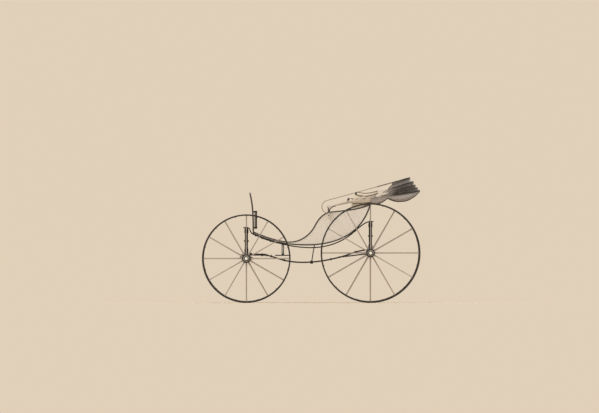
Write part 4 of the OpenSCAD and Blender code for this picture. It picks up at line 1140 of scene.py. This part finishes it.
# Buckle a little above the middle of the check strap.
b = Build()
strap_low = np.array([low_mid[0] - 75, 0, perch_low[1] + 4])
strap_top = np.array([strap_low[0] - 35, 0, Z_LOW + 20])
c, d = lerp(strap_low, strap_top, 0.55), unit(strap_top - strap_low)
n, y = np.array([d[2], 0, -d[0]]), np.array([0, 1, 0])
axes = (n, y, d)
for s in (-1, 1):
    b.box(c + s * 13 * d, (2.2, 21, 2.2), axes, 0.8)
    b.box(c + s * 19 * y, (2.2, 2.2, 15), axes, 0.8)
    b.box(c + s * 9 * n, (1.2, 17.5, 9), axes, 0.6)
piece("strap_buckle", b, mat_nickel)

# Stage, light and camera
PAPER, SKY, SKY_POWER = srgb(225, 208, 185), (1, 0.98, 0.95, 1), 0.62
FLOOR_R, FLOOR_Z, FADE = 3.4, -0.0005, (1.3, 3.3)
LAMP, AIM = (1, 0.985, 0.96), (0, 0, 0.8)
LENS, SENSOR, CLIP, CAMERA = 1150, 36, (1, 500), (0.1344, 220.0525, 1.1060)
scene.view_settings.view_transform = "Standard"
world = bpy.data.worlds.new("studio")
scene.world = world
world.use_nodes = True
wt = world.node_tree
wt.nodes.clear()

# The backdrop is plain paper where it is seen, reflected or seen through, and a soft light elsewhere.
rays, mix = node(wt, "LightPath"), node(wt, "MixShader")
seen = rays.outputs["Is Camera Ray"]
for kind in ("Is Glossy Ray", "Is Transmission Ray"):
    either = node(wt, "Math")
    either.operation = "MAXIMUM"
    wt.links.new(seen, either.inputs[0])
    wt.links.new(rays.outputs[kind], either.inputs[1])
    seen = either.outputs[0]
wt.links.new(seen, mix.inputs[0])
wt.links.new(node(wt, "Background", Color=SKY, Strength=SKY_POWER).outputs[0], mix.inputs[1])
wt.links.new(node(wt, "Background", Color=PAPER).outputs[0], mix.inputs[2])
wt.links.new(mix.outputs[0], node(wt, "OutputWorld").inputs[0])

bm = bmesh.new()
bmesh.ops.create_circle(bm, cap_ends=True, cap_tris=True, segments=96, radius=FLOOR_R)
me = bpy.data.meshes.new("floor")
bm.to_mesh(me)
bm.free()
floor = shown("floor", me)
floor.location = (0, 0, FLOOR_Z)
# The floor fades into the backdrop towards its rim.
m = Mat("floor_paper", PAPER, 0.9, vary=0.02, scale=2)
fade = m.n("MixShader")
m.link(m.steps(m.reach(m.axis(0), m.axis(1)), *FADE), fade.inputs[0])
m.link(m.b.outputs[0], fade.inputs[1])
m.link(m.n("BsdfTransparent").outputs[0], fade.inputs[2])
m.link(fade.outputs[0], m.out.inputs[0])
me.materials.append(m.m)

# Lights: name, place, size, power.
for name, place, size, power in (("key", (2.6, 5.2, 5.6), 4.0, 210), ("fill", (-4.5, 3.2, 5.0), 4.0, 80),
                                 ("back", (-1.5, -5.5, 5.2), 4.5, 150)):
    lamp = bpy.data.lights.new(name, "AREA")
    lamp.size, lamp.energy, lamp.color = size, power, LAMP
    o = shown(name, lamp)
    o.location = place
    o.rotation_mode = "QUATERNION"
    o.rotation_quaternion = (Vector(AIM) - Vector(place)).to_track_quat("-Z", "Y")
    o.visible_camera = False

cam = bpy.data.cameras.new("camera")
cam.lens, cam.sensor_width = LENS, SENSOR
cam.clip_start, cam.clip_end = CLIP
scene.camera = shown("camera", cam)
scene.camera.location = CAMERA
scene.camera.rotation_euler = (math.pi / 2, 0, math.pi)
